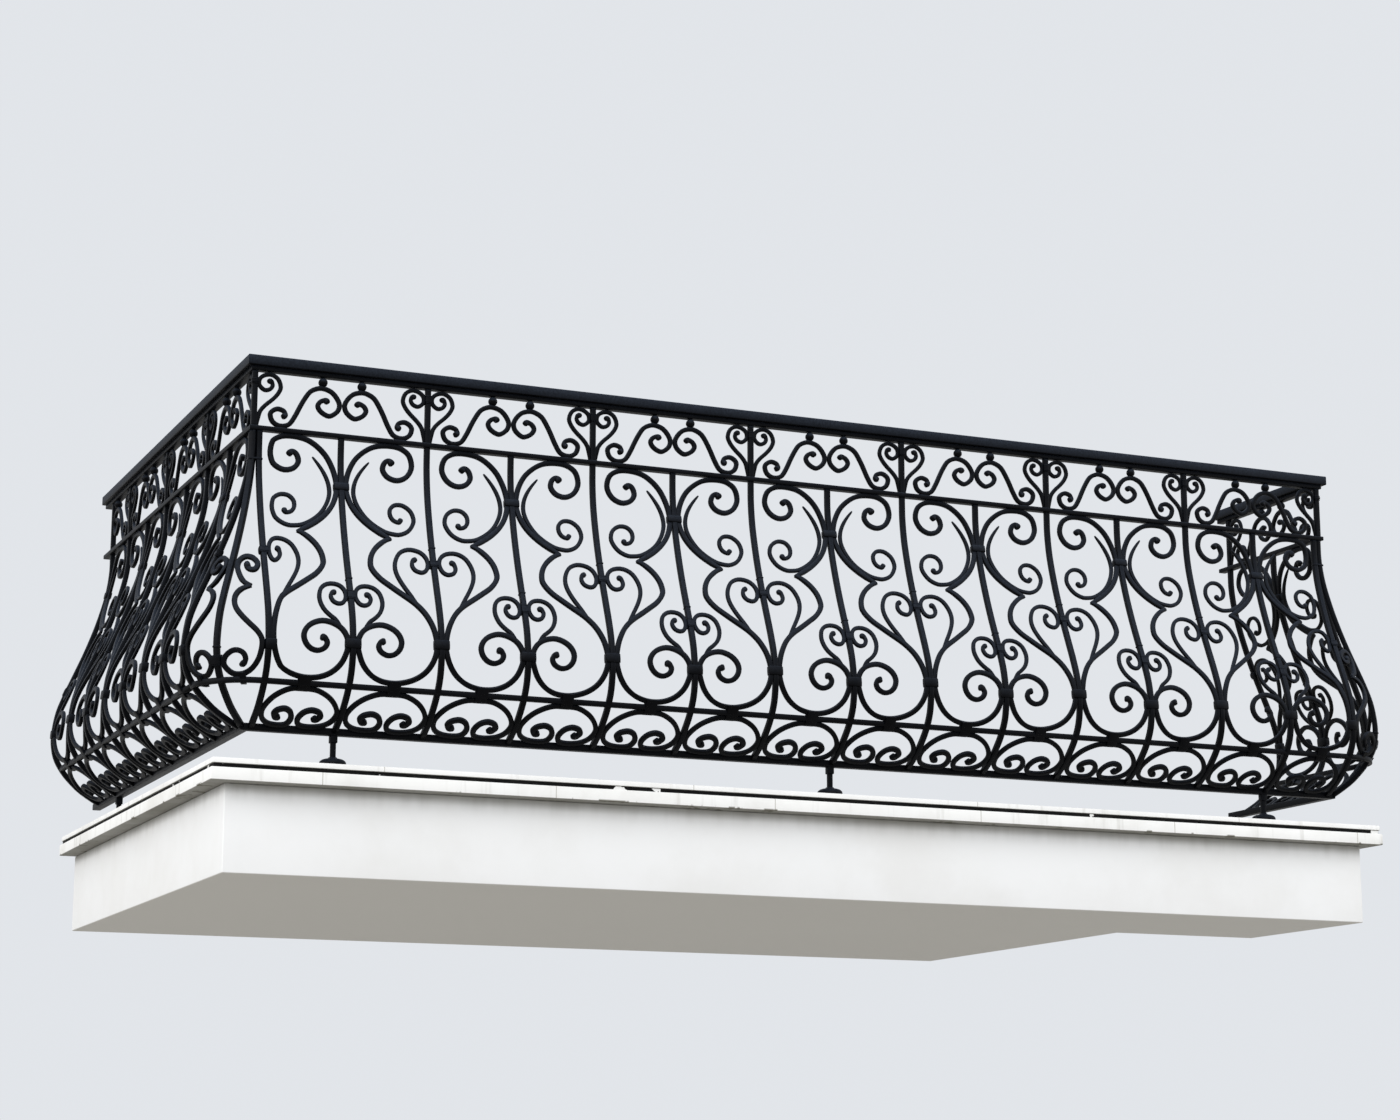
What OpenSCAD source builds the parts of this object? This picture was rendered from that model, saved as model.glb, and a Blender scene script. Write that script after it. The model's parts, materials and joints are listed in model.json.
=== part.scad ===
// Bellied wrought-iron balcony: a scrollwork railing on three sides of a rendered slab.
// The origin is on the slab's back face, against the wall, on the middle line of the front run.
// The front faces -Y. All heights of the railing are measured from the deck.

/* [Plan] */
// Distance between two long pickets
bay = 460; // [420:10:500]
// Bays in the front run
front_bays = 7; // [3:1:9]
// Half bays in the left run, which ends on a short-picket place
left_half_bays = 7; // [5:2:9]
// Half bays in the right run, which ends on a long-picket place
right_half_bays = 2; // [2:2:4]
// From the last picket of the left run to its wall
left_wall_gap = 75; // [50:5:150]
// From the last picket of the right run to its wall
right_wall_gap = 45; // [30:5:150]
// From a corner post to the first picket beside it
corner_gap = 16; // [15.5:0.5:20]
// How much of the belly the diagonal corner picket takes
corner_share = 0.92; // [0.88:0.01:0.94]
// Length of the right-hand wall face that the slab meets
right_wall_len = 420; // [200:10:800]

/* [Railing heights] */
// Top of the handrail above the deck
handrail_top = 1043; // [1000:1:1100]
// Middle of the rail under the frieze
upper_rail_z = 856; // [840:2:880]
// Middle of the rail round the belly
belly_rail_z = 190; // [180:2:200]
// Middle of the bottom rail
bottom_rail_z = 93; // [88:1:110]
// How far the belly stands out past the handrail line
belly_out = 152; // [120:2:180]

/* [Rails] */
// Width of the handrail
handrail_w = 46; // [40:1:60]
// Height of the handrail
handrail_h = 26; // [20:1:30]
// Width of the core, upper and bottom rails
rail_w = 24; // [20:1:30]
// Height of the core rail under the handrail
core_rail_h = 11; // [8:1:12]
// Height of the upper rail
upper_rail_h = 12; // [8:1:14]
// Height of the bottom rail
bottom_rail_h = 18; // [12:1:22]
// Width of the belly rail
belly_rail_w = 20; // [19:1:24]
// Height of the belly rail
belly_rail_h = 12; // [8:1:14]

/* [Bars] */
// Side of a square picket
picket = 13; // [12:0.5:14]
// Width of the main scroll bars
bar = 11; // [9:0.5:12]
// Width of the heart and inner scroll bars
thin = 8; // [6:0.5:9]
// Width of the frieze's big scroll bars
frieze_bar = 10; // [8:0.5:12]
// Depth of the scroll bars across the panel
scroll_depth = 10; // [8:0.5:12]
// Diameter of the balls under the handrail
ball_d = 22; // [18:1:24]
// Diameter of the necks that join the balls to the core rail
ball_neck_d = 11; // [8:0.5:14]
// Wall of the collars and bosses
collar_t = 3; // [2:0.5:4]
// Height of the collars that clip the bundles
collar_h = 24; // [18:1:30]
// Length of the clips on the belly rail
clip_len = 40; // [30:2:50]
// Play between pieces that pass through each other
play = 0.2; // [0.1:0.05:0.3]
// How closely the straight pieces follow the curves
curve_tol = 1.4; // [0.8:0.1:2]

/* [Feet] */
// Side of the square foot
foot = 13; // [12:1:18]
// Diameter of the foot's round plate
foot_plate_d = 60; // [50:2:80]
// Thickness of the plate at its rim
foot_plate_t = 8; // [5:1:12]
// Height of the raised neck on the plate
foot_neck_h = 8; // [4:1:12]

/* [Slab] */
// Thickness of the rendered slab
slab_t = 220; // [180:5:260]
// How far the slab's edge stands out past the railing line
slab_out = 57; // [40:1:80]
// Thickness of the drip course on the slab
drip_h = 32; // [24:1:40]
// How far the drip course stands out past the railing line
drip_out = 104; // [90:1:120]
// Height of the open joint over the drip course
joint_h = 10; // [6:1:12]
// How far the bedding in the joint stands out past the railing line
joint_out = 86; // [70:1:90]
// Thickness of the deck topping
topping_h = 14; // [10:1:20]
// How far the deck topping stands out past the railing line
topping_out = 99; // [90:1:110]

/* [Hidden] */

half = bay / 2;
n_front = 2 * floor(front_bays);
n_left = 2 * floor((left_half_bays - 1) / 2) + 1;
n_right = 2 * floor(right_half_bays / 2);
front_len = n_front * half;
left_len = n_left * half + left_wall_gap;
right_len = n_right * half + right_wall_gap;
x_left = -front_len / 2;
x_right = front_len / 2;
y_front = -left_len;
y_right_wall = y_front + right_len;
x_recess = x_right - right_wall_len;
deck = slab_t / 2 + drip_h + joint_h + topping_h;

// Faces of the rails, above the deck
core_top = handrail_top - handrail_h;
core_bottom = core_top - core_rail_h;
upper_top = upper_rail_z + upper_rail_h / 2;
upper_bottom = upper_rail_z - upper_rail_h / 2;
belly_top = belly_rail_z + belly_rail_h / 2;
belly_bottom = belly_rail_z - belly_rail_h / 2;
bottom_top = bottom_rail_z + bottom_rail_h / 2;
bottom_bottom = bottom_rail_z - bottom_rail_h / 2;

// The belly's side view: share of the drop from the upper rail to the bottom rail,
// and share of belly_out
belly_shape = [[-0.3, 0], [0, 0], [0.08, 0.004], [0.15, 0.045], [0.21, 0.11], [0.29, 0.225],
    [0.36, 0.345], [0.43, 0.48], [0.51, 0.65], [0.59, 0.82], [0.66, 0.94], [0.74, 1],
    [0.795, 0.985], [0.84, 0.92], [0.885, 0.78], [0.92, 0.62], [0.955, 0.42], [1, 0.06]];
drop = upper_rail_z - bottom_rail_z;
belly_line = [for (p = belly_shape) [upper_rail_z - p[0] * drop, p[1] * belly_out]];

// How far the middle of the belly stands out at a height above the deck
function out_at(z) =
    z >= belly_line[1][0] ? 0 :
    let (i = [for (k = [1 : len(belly_line) - 2])
        if (z <= belly_line[k][0] && z >= belly_line[k + 1][0]) k][0],
        a = belly_line[i], b = belly_line[i + 1], t = (z - a[0]) / (b[0] - a[0]))
    a[1] + (b[1] - a[1]) * t;

// Lean of the belly at a height, in degrees from upright, over a short stretch of it
lean_reach = 12;
function lean_at(z) = atan2(out_at(z - lean_reach) - out_at(z + lean_reach), 2 * lean_reach);

// A point between p1 and p2 on the smooth curve through four points
function between(p0, p1, p2, p3, t) =
    0.5 * (2 * p1 + (p2 - p0) * t + (2 * p0 - 5 * p1 + 4 * p2 - p3) * t * t
        + (3 * p1 - p0 - 3 * p2 + p3) * t * t * t);

// A smooth curve through the points, close points all along it
curve_pieces = 6;
function curve(pts) =
    let (n = len(pts))
    [for (i = [0 : n - 2], k = [0 : curve_pieces - 1])
        between(pts[max(i - 1, 0)], pts[i], pts[i + 1], pts[min(i + 2, n - 1)], k / curve_pieces),
     pts[n - 1]];

// Distance of p from the straight line from a to b
function off_line(p, a, b) =
    let (d = b - a) abs(d[0] * (p[1] - a[1]) - d[1] * (p[0] - a[0])) / max(norm(d), 0.001);

// The furthest point after j that a straight piece from i may reach and stay close to the line
function reach(line, i, j) =
    j >= len(line) - 1 ? j :
    max([for (k = [i + 1 : j]) off_line(line[k], line[i], line[j + 1])]) < curve_tol
        ? reach(line, i, j + 1) : j;

// The line from point i on, drawn with the fewest straight pieces
function fewest(line, i = 0) =
    i >= len(line) - 1 ? [line[i]] : concat([line[i]], fewest(line, reach(line, i, i + 1)));

function smooth(pts) = fewest(curve(pts));

// Gaps narrower than twice this between bars that touch are closed
seam = 0.5;

// Unit normal of a line of points at point i
function normal(pts, i) =
    let (n = len(pts), d = pts[min(i + 1, n - 1)] - pts[max(i - 1, 0)])
    [-d[1], d[0]] / norm(d);

// Half width of a bar at point i: its first and last fifth narrow to the given shares
function half_width(i, n, w, first, last) =
    let (s = i / (n - 1))
    w / 2 * min(1, first + (1 - first) * 5 * s, last + (1 - last) * 5 * (1 - s));

// A flat bar of width w along a line, narrowed at its ends
module flat_bar(line, w, first = 1, last = 0.8) {
    n = len(line);
    polygon(concat(
        [for (i = [0 : n - 1]) line[i] + normal(line, i) * half_width(i, n, w, first, last)],
        [for (i = [n - 1 : -1 : 0]) line[i] - normal(line, i) * half_width(i, n, w, first, last)]));
}

// Anchors of the drawn panel cell: bars run along these lines where they meet a picket or a rail
drawn_side = [12, 218];
drawn_panel = [-14, -654];
side_a = picket / 2 + bar / 2;
side_b = half - side_a;
panel_top = upper_bottom - bar / 2;
panel_bottom = belly_top + bar / 2;
function cell_x(x) =
    side_a + (x - drawn_side[0]) * (side_b - side_a) / (drawn_side[1] - drawn_side[0]);
function cell_z(z) =
    panel_top + (z - drawn_panel[0]) * (panel_bottom - panel_top) / (drawn_panel[1] - drawn_panel[0]);

// Beside a corner the first picket stands inward, and the bars next to it give way over this width
squeeze = 40;
function give(x, gap) = gap * max(0, 1 - (x - drawn_side[0]) / squeeze);
function cell(pts, gap = 0) =
    smooth([for (p = pts) [cell_x(p[0]) + give(p[0], gap), cell_z(p[1])]]);

// The drawn panel cell: 0 is the long picket, 230 the short one, heights from the upper rail.
// From the eye of the upper scroll down to the elbow
upper_scroll = [[110, -269], [136, -254], [161, -237], [185, -215], [203, -190], [214, -163],
    [218, -135], [214, -107], [205, -82], [190, -56], [167, -34], [140, -20], [107, -14],
    [75, -17], [52, -31], [42, -52], [44, -74], [58, -94], [82, -103], [106, -96], [118, -78],
    [114, -59], [103, -53], [92, -62]];
// From the elbow round the big circle to the eye of the lower scroll
lower_scroll = [[110, -269], [128, -277], [148, -295], [163, -316], [168, -338], [165, -359],
    [148, -382], [122, -402], [97, -420], [75, -436], [57, -451], [38, -472], [22, -503],
    [14, -532], [12, -553], [14, -575], [24, -602], [42, -626], [68, -643], [98, -652],
    [125, -654], [152, -650], [178, -639], [200, -618], [213, -592], [218, -566], [213, -545],
    [201, -528], [181, -516], [154, -511], [128, -519], [111, -534], [104, -553], [109, -572],
    [124, -585], [143, -588], [158, -579], [164, -566], [158, -556], [147, -557]];
// The free inner scroll, from its pointed tail to its eye
inner_scroll = [[155, -62], [170, -79], [183, -98], [193, -119], [199, -141], [199, -163],
    [191, -188], [173, -214], [151, -233], [124, -248], [101, -254], [81, -253], [59, -242],
    [45, -222], [42, -205], [50, -184], [69, -171], [90, -172], [103, -185], [104, -202],
    [95, -214], [82, -216], [77, -207]];
// The heart round the long picket and the one round the short picket
long_heart = [[55, -452], [76, -418], [92, -392], [102, -368], [105, -347], [100, -326],
    [88, -307], [70, -296], [51, -294], [32, -300], [19, -314], [15.5, -331], [22, -348],
    [35, -356], [50, -352], [58, -339], [53, -326], [42, -324]];
short_heart = [[206, -534], [187, -507], [172, -495], [158, -480], [150, -461], [149, -443],
    [155, -424], [168, -412], [186, -408], [204, -412], [216, -425], [217.5, -443],
    [209, -458], [196, -462], [184, -456], [179, -443], [186, -434]];
long_heart_z = -331;
long_heart_side = 15.5;
short_heart_side = 217.5;
short_heart_z = -438;
upper_collar_z = -136;
long_collar_z = -552;
short_collar_z = -566;

// The five bars of a half bay, plain and beside a corner
plain_bars = [for (pts = [upper_scroll, lower_scroll, inner_scroll, long_heart, short_heart])
    cell(pts)];
corner_bars = [for (pts = [upper_scroll, lower_scroll, inner_scroll, long_heart, short_heart])
    cell(pts, corner_gap)];
bar_widths = [bar, bar, thin, thin, thin];
bar_starts = [1, 1, 0.25, 0.6, 0.6];

// One half of a bay, from the long picket at 0 to the short picket
module half_cell(bars) for (k = [0 : len(bars) - 1])
    flat_bar(bars[k], bar_widths[k], bar_starts[k]);

// Where picket i stands along a run of n half bays, whose far end is a corner too if both
function picket_x(i, n, both) =
    i == 0 ? corner_gap : both && i == n ? n * half - corner_gap : i * half;

// A flat strip that clears the picket at x
module clear_strip(x) translate([x - picket / 2 - play, -handrail_top])
    square([picket + 2 * play, 3 * handrail_top]);

// Half bays from number first to number last of a run, clear of the pickets and rails
module cells(first, last, n, both) difference() {
    offset(delta = -seam) offset(delta = seam)
        for (i = [first : last]) translate([(i % 2 == 0 ? i : i + 1) * half, 0])
            mirror([i % 2, 0])
                half_cell(i == 0 || (both && i == n - 1) ? corner_bars : plain_bars);
    for (i = [first : last + 1]) clear_strip(picket_x(i, n, both));
    translate([first * half - bay, upper_bottom]) square([(n + 4) * half, upper_rail_h]);
    translate([first * half - bay, belly_bottom]) square([(n + 4) * half, belly_rail_h]);
}

// Turns the railing's run so that x runs along it from the corner and -y is outward
module run_front() translate([x_left, y_front, deck]) children();
module run_left() translate([x_left, y_front, deck]) rotate([0, 0, 90])
    mirror([0, 1, 0]) children();
module run_right() translate([x_right, y_front, deck]) rotate([0, 0, 90]) children();

// A flat outline in x and z, made upright and t deep, half of it on each side
module upright(t) translate([0, t / 2, 0]) rotate([90, 0, 0]) linear_extrude(t) children();

// Side view of the belly as a band: depth t, share is how much of the belly is taken
belly_mid = [for (p = belly_line) [-p[1], p[0]]];
function band_line(share, t, side) =
    let (m = [for (p = belly_mid) [p[0] * share, p[1]]])
    [for (i = [0 : len(m) - 1]) m[i] + normal(m, i) * side * t / 2];

// A bent plate that follows the belly from x = a to x = b
module band(a, b, t, share = 1) {
    out_line = band_line(share, t, 1);
    in_line = band_line(share, t, -1);
    n = len(out_line);
    translate([a, 0, 0]) rotate([90, 0, 90]) linear_extrude(b - a)
        polygon(concat(out_line, [for (i = [n - 1 : -1 : 0]) in_line[i]]));
}

// A picket from the height top down to the bottom rail
module picket_bar(x, top, share = 1) intersection() {
    difference() {
        band(x - picket / 2, x + picket / 2, picket, share);
        translate([x - picket, -rail_w / 2 - play, bottom_bottom - picket])
            cube([2 * picket, rail_w + 2 * play, bottom_rail_h + picket + play]);
    }
    translate([x - picket, -2 * belly_out, bottom_bottom])
        cube([2 * picket, 3 * belly_out, top - bottom_bottom]);
}

// A short picket starts under the upper rail, a long one under the core rail
module short_picket(x, share = 1) picket_bar(x, upper_bottom - play, share);
module long_picket(x) picket_bar(x, core_bottom - play);

// A straight rail of a run, mitred at its corners
module mitred(len, w, z, h, both) translate([0, 0, z]) linear_extrude(h)
    polygon([[-w / 2, -w / 2], [len + (both ? w / 2 : 0), -w / 2],
        [len - (both ? w / 2 : 0), w / 2], [w / 2, w / 2]]);
module front_rail(w, z, h) run_front() mitred(front_len, w, z, h, true);
module left_rail(w, z, h) run_left() mitred(left_len, w, z, h, false);
module right_rail(w, z, h) run_right() mitred(right_len, w, z, h, false);

module iron() color([0.05, 0.05, 0.065]) children();

module handrail_front() iron() front_rail(handrail_w, core_top, handrail_h);
module handrail_left() iron() left_rail(handrail_w, core_top, handrail_h);
module handrail_right() iron() right_rail(handrail_w, core_top, handrail_h);
module core_rail_front() iron() front_rail(rail_w, core_bottom, core_rail_h);
module core_rail_left() iron() left_rail(rail_w, core_bottom, core_rail_h);
module core_rail_right() iron() right_rail(rail_w, core_bottom, core_rail_h);

// Square holes that let the long pickets through the upper rail
module upper_holes(places) for (i = places)
    translate([i * half - picket / 2 - play, -picket / 2 - play, upper_bottom - upper_rail_h])
        cube([picket + 2 * play, picket + 2 * play, 3 * upper_rail_h]);
module upper_rail_front() iron() difference() {
    front_rail(rail_w, upper_bottom, upper_rail_h);
    run_front() upper_holes([2 : 2 : n_front - 2]);
}
module upper_rail_left() iron() difference() {
    left_rail(rail_w, upper_bottom, upper_rail_h);
    run_left() upper_holes(concat([for (i = [2 : 2 : n_left - 1]) i], [n_left]));
}
module upper_rail_right() iron() difference() {
    right_rail(rail_w, upper_bottom, upper_rail_h);
    run_right() upper_holes([2 : 2 : n_right]);
}

module bottom_rail_front() iron() front_rail(rail_w, bottom_bottom, bottom_rail_h);
module bottom_rail_left() iron() left_rail(rail_w, bottom_bottom, bottom_rail_h);
module bottom_rail_right() iron() right_rail(rail_w, bottom_bottom, bottom_rail_h);

// The belly rail runs outside the handrail line, with a hole for every picket
belly_y = out_at(belly_rail_z);
belly_end = picket / 2 + play;
module belly_holes(n, both, first, last) for (i = [first : last])
    band(picket_x(i, n, both) - belly_end, picket_x(i, n, both) + belly_end, picket + 2 * play);
module belly_bar(a, b) translate([a, -belly_y - belly_rail_w / 2, belly_bottom])
    cube([b - a, belly_rail_w, belly_rail_h]);

// It turns each corner in an arc, from the side run's first picket to the front run's
belly_turn_r = belly_y + corner_gap;
turn_pieces = 12;
function turn(x, r, from) = [for (i = [0 : turn_pieces])
    [x + r * cos(from + 90 * i / turn_pieces), corner_gap + r * sin(from + 90 * i / turn_pieces)]];
function belly_side(o) = concat(
    [[-belly_y - o, corner_gap + belly_end]],
    turn(corner_gap, belly_turn_r + o, 180),
    turn(front_len - corner_gap, belly_turn_r + o, 270),
    [[front_len + belly_y + o, corner_gap + belly_end]]);
module corner_holes() {
    diagonal() band(-belly_end, belly_end, picket + 2 * play, corner_share);
    side_first() band(-belly_end, belly_end + play, picket + 2 * play);
}
module belly_rail_front() iron() {
    outer = belly_side(belly_rail_w / 2);
    inner = belly_side(-belly_rail_w / 2);
    difference() {
        run_front() translate([0, 0, belly_bottom]) linear_extrude(belly_rail_h)
            polygon(concat(outer, [for (i = [len(inner) - 1 : -1 : 0]) inner[i]]));
        run_front() belly_holes(n_front, true, 0, n_front);
        corner_left() corner_holes();
        corner_right() corner_holes();
    }
}
module belly_rail_left() iron() run_left() difference() {
    belly_bar(corner_gap + belly_end, n_left * half - belly_end);
    belly_holes(n_left, false, 1, n_left - 1);
}
module belly_rail_right() iron() run_right() difference() {
    belly_bar(corner_gap + belly_end, n_right * half - belly_end);
    belly_holes(n_right, false, 1, n_right - 1);
}

module pickets_front() iron() run_front() {
    for (i = [1 : 2 : n_front - 1]) short_picket(i * half);
    for (i = [2 : 2 : n_front - 2]) long_picket(i * half);
}
module pickets_left() iron() run_left() {
    for (i = [1 : 2 : n_left - 2]) short_picket(i * half);
    for (i = [2 : 2 : n_left - 1]) long_picket(i * half);
    long_picket(n_left * half);
}
module pickets_right() iron() run_right() {
    for (i = [1 : 2 : n_right - 1]) short_picket(i * half);
    for (i = [2 : 2 : n_right]) long_picket(i * half);
}

// A corner: one post in the frieze, and three pickets that fan out under the upper rail.
// The corner is drawn as the left one, with the front run along x and the side run along y
module corner_left() translate([x_left, y_front, deck]) children();
module corner_right() translate([x_right, y_front, deck]) mirror([1, 0, 0]) children();
module diagonal() rotate([0, 0, -45]) children();
module side_first() translate([0, corner_gap, 0]) rotate([0, 0, 90]) mirror([0, 1, 0]) children();
module corner_post() translate([-picket / 2, -picket / 2, upper_top + play])
    cube([picket, picket, core_bottom - upper_top - 2 * play]);
module corner_pickets() {
    corner_post();
    diagonal() short_picket(0, corner_share);
    short_picket(corner_gap);
    side_first() short_picket(0);
}
module corner_pickets_left() iron() corner_left() corner_pickets();
module corner_pickets_right() iron() corner_right() corner_pickets();

// Frieze cell: 0 is the long picket or corner post, 230 the touch line of two scrolls
drawn_frieze = [8.4, 144.5];
drawn_touch = 221;
frieze_low = upper_top + thin / 2;
frieze_high = core_bottom - thin / 2;
function frieze_z(z) = frieze_low + (z - drawn_frieze[0]) * (frieze_high - frieze_low)
    / (drawn_frieze[1] - drawn_frieze[0]);
frieze_scroll = [[190, 81], [185, 90], [171, 86], [164, 73], [173, 58], [194, 49], [214, 62],
    [221, 80], [214, 98], [198, 115], [175, 122], [157, 118], [142, 108], [128, 86], [117, 64],
    [106, 40], [91, 16], [69, 9], [50, 17], [42, 34], [46, 46], [60, 54], [76, 50], [80, 39],
    [71, 33]];
frieze_heart = [[8, 5], [11, 24], [16, 44], [29, 61], [46, 77], [60, 94], [67, 112], [62, 130],
    [52, 140], [38, 144], [22, 139], [12, 128], [12.5, 112], [26, 101], [40, 105], [46, 116],
    [40, 127], [31, 124]];
ball_x = 176;
ball_z = 136.5;
frieze_boss_z = 122;
frieze_heart_side = 12;
frieze_touch = half - frieze_bar / 2;
function frieze_x(x) = side_a + (x - drawn_side[0]) * (frieze_touch - side_a)
    / (drawn_touch - drawn_side[0]);
function frieze_line(pts) = smooth([for (p = pts) [frieze_x(p[0]), frieze_z(p[1])]]);
frieze_scroll_line = frieze_line(frieze_scroll);
frieze_heart_line = frieze_line(frieze_heart);
module frieze_outline(n) difference() {
    offset(delta = -seam) offset(delta = seam)
        for (i = [0 : n - 1]) translate([(i % 2 == 0 ? i : i + 1) * half, 0]) mirror([i % 2, 0]) {
            flat_bar(frieze_scroll_line, frieze_bar, 0.8);
            flat_bar(frieze_heart_line, thin);
        }
    for (i = [0 : 2 : n]) clear_strip(i * half);
    clear_strip(n * half);
    translate([-bay, upper_bottom]) square([(n + 4) * half, upper_rail_h + play]);
    translate([-bay, core_bottom - play]) square([(n + 4) * half, core_rail_h]);
}
module frieze_balls(n) intersection() {
    for (i = [0 : n - 1]) translate([i % 2 == 0 ? i * half + frieze_x(ball_x)
        : (i + 1) * half - frieze_x(ball_x), 0, frieze_z(ball_z)]) {
        sphere(d = ball_d, $fn = 24);
        cylinder(d = ball_neck_d, h = 2 * ball_d, $fn = 24);
    }
    translate([-bay, -bay, upper_top])
        cube([(n + 4) * half, 2 * bay, core_bottom - play - upper_top]);
}
module frieze(n) {
    upright(scroll_depth) frieze_outline(n);
    frieze_balls(n);
}
module frieze_front() iron() run_front() frieze(n_front);
module frieze_left() iron() run_left() frieze(n_left);
module frieze_right() iron() run_right() frieze(n_right);

// The bellied scroll panels
panel_reach = 3 * belly_out;
module panel(first, last, n, both) intersection() {
    upright(panel_reach) cells(first, last, n, both);
    band((first - 0.5) * half, (last + 1.5) * half, scroll_depth);
}
module scrolls_front(k) iron() run_front()
    panel(4 * k - 4, min(4 * k - 1, n_front - 1), n_front, true);
module scrolls_left_1() iron() run_left() panel(0, 3, n_left, false);
module scrolls_left_2() iron() run_left() panel(4, n_left - 1, n_left, false);
module scrolls_right() iron() run_right() panel(0, n_right - 1, n_right, false);

// Corner scrolls fill the fan between the diagonal picket and the first picket of a run.
// They are drawn as a share of the way from one to the other, heights from the upper rail
fan_turn = 45 / 2;
fan_share = cos(fan_turn) * (1 + corner_share) / 2;
fan_shift = corner_gap * sin(fan_turn) / 2;
fan_edge = picket / 2 * (cos(fan_turn) + sin(fan_turn)) + bar / 2;
fan_scroll = [[0.6, -369], [0.49, -372], [0.51, -382], [0.69, -386], [0.89, -383], [1, -368],
    [0.77, -354], [0.37, -350], [0.07, -359], [0, -376], [0.17, -398], [0.4, -419], [0.7, -430]];
fan_low = [[0.7, -430], [0.39, -438], [0.22, -451], [0.18, -468], [0.26, -489], [0.46, -511],
    [0.67, -530], [0.88, -549], [1, -569], [1, -593], [0.93, -620], [0.77, -642], [0.54, -653],
    [0.3, -654], [0.125, -647], [0, -631], [0.06, -612], [0.24, -599], [0.41, -598],
    [0.55, -606], [0.6, -620], [0.53, -630], [0.45, -627]];
function fan_from(z) = fan_edge - corner_share * out_at(z) * sin(fan_turn);
function fan_to(z) = corner_gap * cos(fan_turn) + out_at(z) * sin(fan_turn) - fan_edge;
function fan(pts) = smooth([for (p = pts) let (z = cell_z(p[1]))
    [fan_from(z) + p[0] * (fan_to(z) - fan_from(z)), z]]);
fan_scroll_line = fan(fan_scroll);
fan_low_line = fan(fan_low);
module fan_outline() difference() {
    offset(delta = -seam) offset(delta = seam) {
        flat_bar(fan_scroll_line, bar);
        flat_bar(fan_low_line, bar);
    }
    translate([-bay, belly_bottom]) square([2 * bay, belly_rail_h]);
}
module corner_fan() difference() {
    rotate([0, 0, -fan_turn]) intersection() {
        upright(panel_reach) fan_outline();
        translate([0, fan_shift, 0]) band(-bay / 4, bay / 4, scroll_depth, fan_share);
    }
    diagonal() band(-belly_end, belly_end, 2 * picket, corner_share);
    translate([corner_gap, 0, 0]) band(-belly_end, belly_end, 2 * picket);
}
module corner_scrolls() {
    corner_fan();
    rotate([0, 0, -90]) mirror([1, 0, 0]) corner_fan();
}
module corner_scrolls_left() iron() corner_left() corner_scrolls();
module corner_scrolls_right() iron() corner_right() corner_scrolls();

// The border under the belly rail is drawn on the slope from that rail to the bottom rail
slope_end = [out_at(bottom_rail_z + 1), bottom_rail_z + 1];
slope = [belly_y - slope_end[0], belly_rail_z - slope_end[1]];
slope_len = norm(slope);
slope_turn = atan2(slope[0], slope[1]);
drawn_slope = 145;
border_bar = 10;
border_side = half / 2 - picket / 2 - bar / 2;
drawn_arch = 103;
border_scroll = [[0, -13], [33, -15], [60, -26], [81, -42], [97, -64], [103, -86], [95, -112],
    [76, -128], [50, -134], [24, -132], [12, -121], [10, -102], [20, -83], [38, -75], [57, -81],
    [64, -94], [56, -105], [44, -101]];
function border(side) = smooth([for (p = border_scroll)
    [p[0] * side / drawn_arch, p[1] * slope_len / drawn_slope]]);
border_line = border(border_side);
border_corner_line = border(border_side - corner_gap);
module border_outline(n, both) difference() {
    offset(delta = -seam) offset(delta = seam) for (i = [0 : n - 1], right = [0, 1])
        translate([(i + 0.5) * half, 0]) mirror([1 - right, 0])
            flat_bar((i == 0 && right == 0) || (both && i == n - 1 && right == 1)
                ? border_corner_line : border_line, border_bar);
    for (i = [0 : n]) clear_strip(picket_x(i, n, both));
}
module border_run(n, both) difference() {
    intersection() {
        translate([0, -belly_y, belly_rail_z]) rotate([slope_turn, 0, 0])
            upright(belly_out) border_outline(n, both);
        band(0, n * half, scroll_depth);
    }
    translate([-half, -belly_y - belly_out / 2, belly_bottom - play])
        cube([(n + 2) * half, belly_out, 3 * belly_rail_h]);
    translate([-half, -rail_w / 2 - play, bottom_bottom - bottom_rail_h])
        cube([(n + 2) * half, rail_w + 2 * play, 2 * bottom_rail_h + play]);
}
module border_front() iron() run_front() border_run(n_front, true);
module border_left() iron() run_left() border_run(n_left, false);
module border_right() iron() run_right() border_run(n_right, false);

// A collar round a bundle of bars w wide at a height of the panel, along the belly's lean
module ring(x, z, w, h, depth) translate([x, -out_at(z), z]) rotate([-lean_at(z), 0, 0])
    difference() {
        cube([w + 2 * collar_t, depth + 2 * collar_t, h], center = true);
        cube([w, depth, h + 2], center = true);
    }
// Room for the bars of a bundle, which bend away from the picket at a collar's ends
bend_room = 1.8;
bundle = picket + 2 * bar + 2 * bend_room;
ring_depth = picket + 2 * play;
boss_h = 22;
module boss(x, z, w) translate([x, -out_at(z), z]) rotate([-lean_at(z), 0, 0]) difference() {
    cube([w, ring_depth + 2 * collar_t, boss_h], center = true);
    cube([ring_depth, ring_depth, boss_h + 2], center = true);
}
long_boss_w = 2 * (cell_x(long_heart_side) - thin / 2 - play);
short_boss_w = 2 * (half - cell_x(short_heart_side) - thin / 2 - play);
module long_collars(x) {
    ring(x, cell_z(long_collar_z), bundle, collar_h, ring_depth);
    boss(x, cell_z(long_heart_z), long_boss_w);
}
module short_collars(x) {
    ring(x, cell_z(short_collar_z), bundle, collar_h, ring_depth);
    ring(x, cell_z(upper_collar_z), bundle, collar_h, ring_depth);
    boss(x, cell_z(short_heart_z), short_boss_w);
}
frieze_boss_w = 2 * (frieze_x(frieze_heart_side) - thin / 2 - play);
module frieze_boss(x) boss(x, frieze_z(frieze_boss_z), frieze_boss_w);

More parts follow.
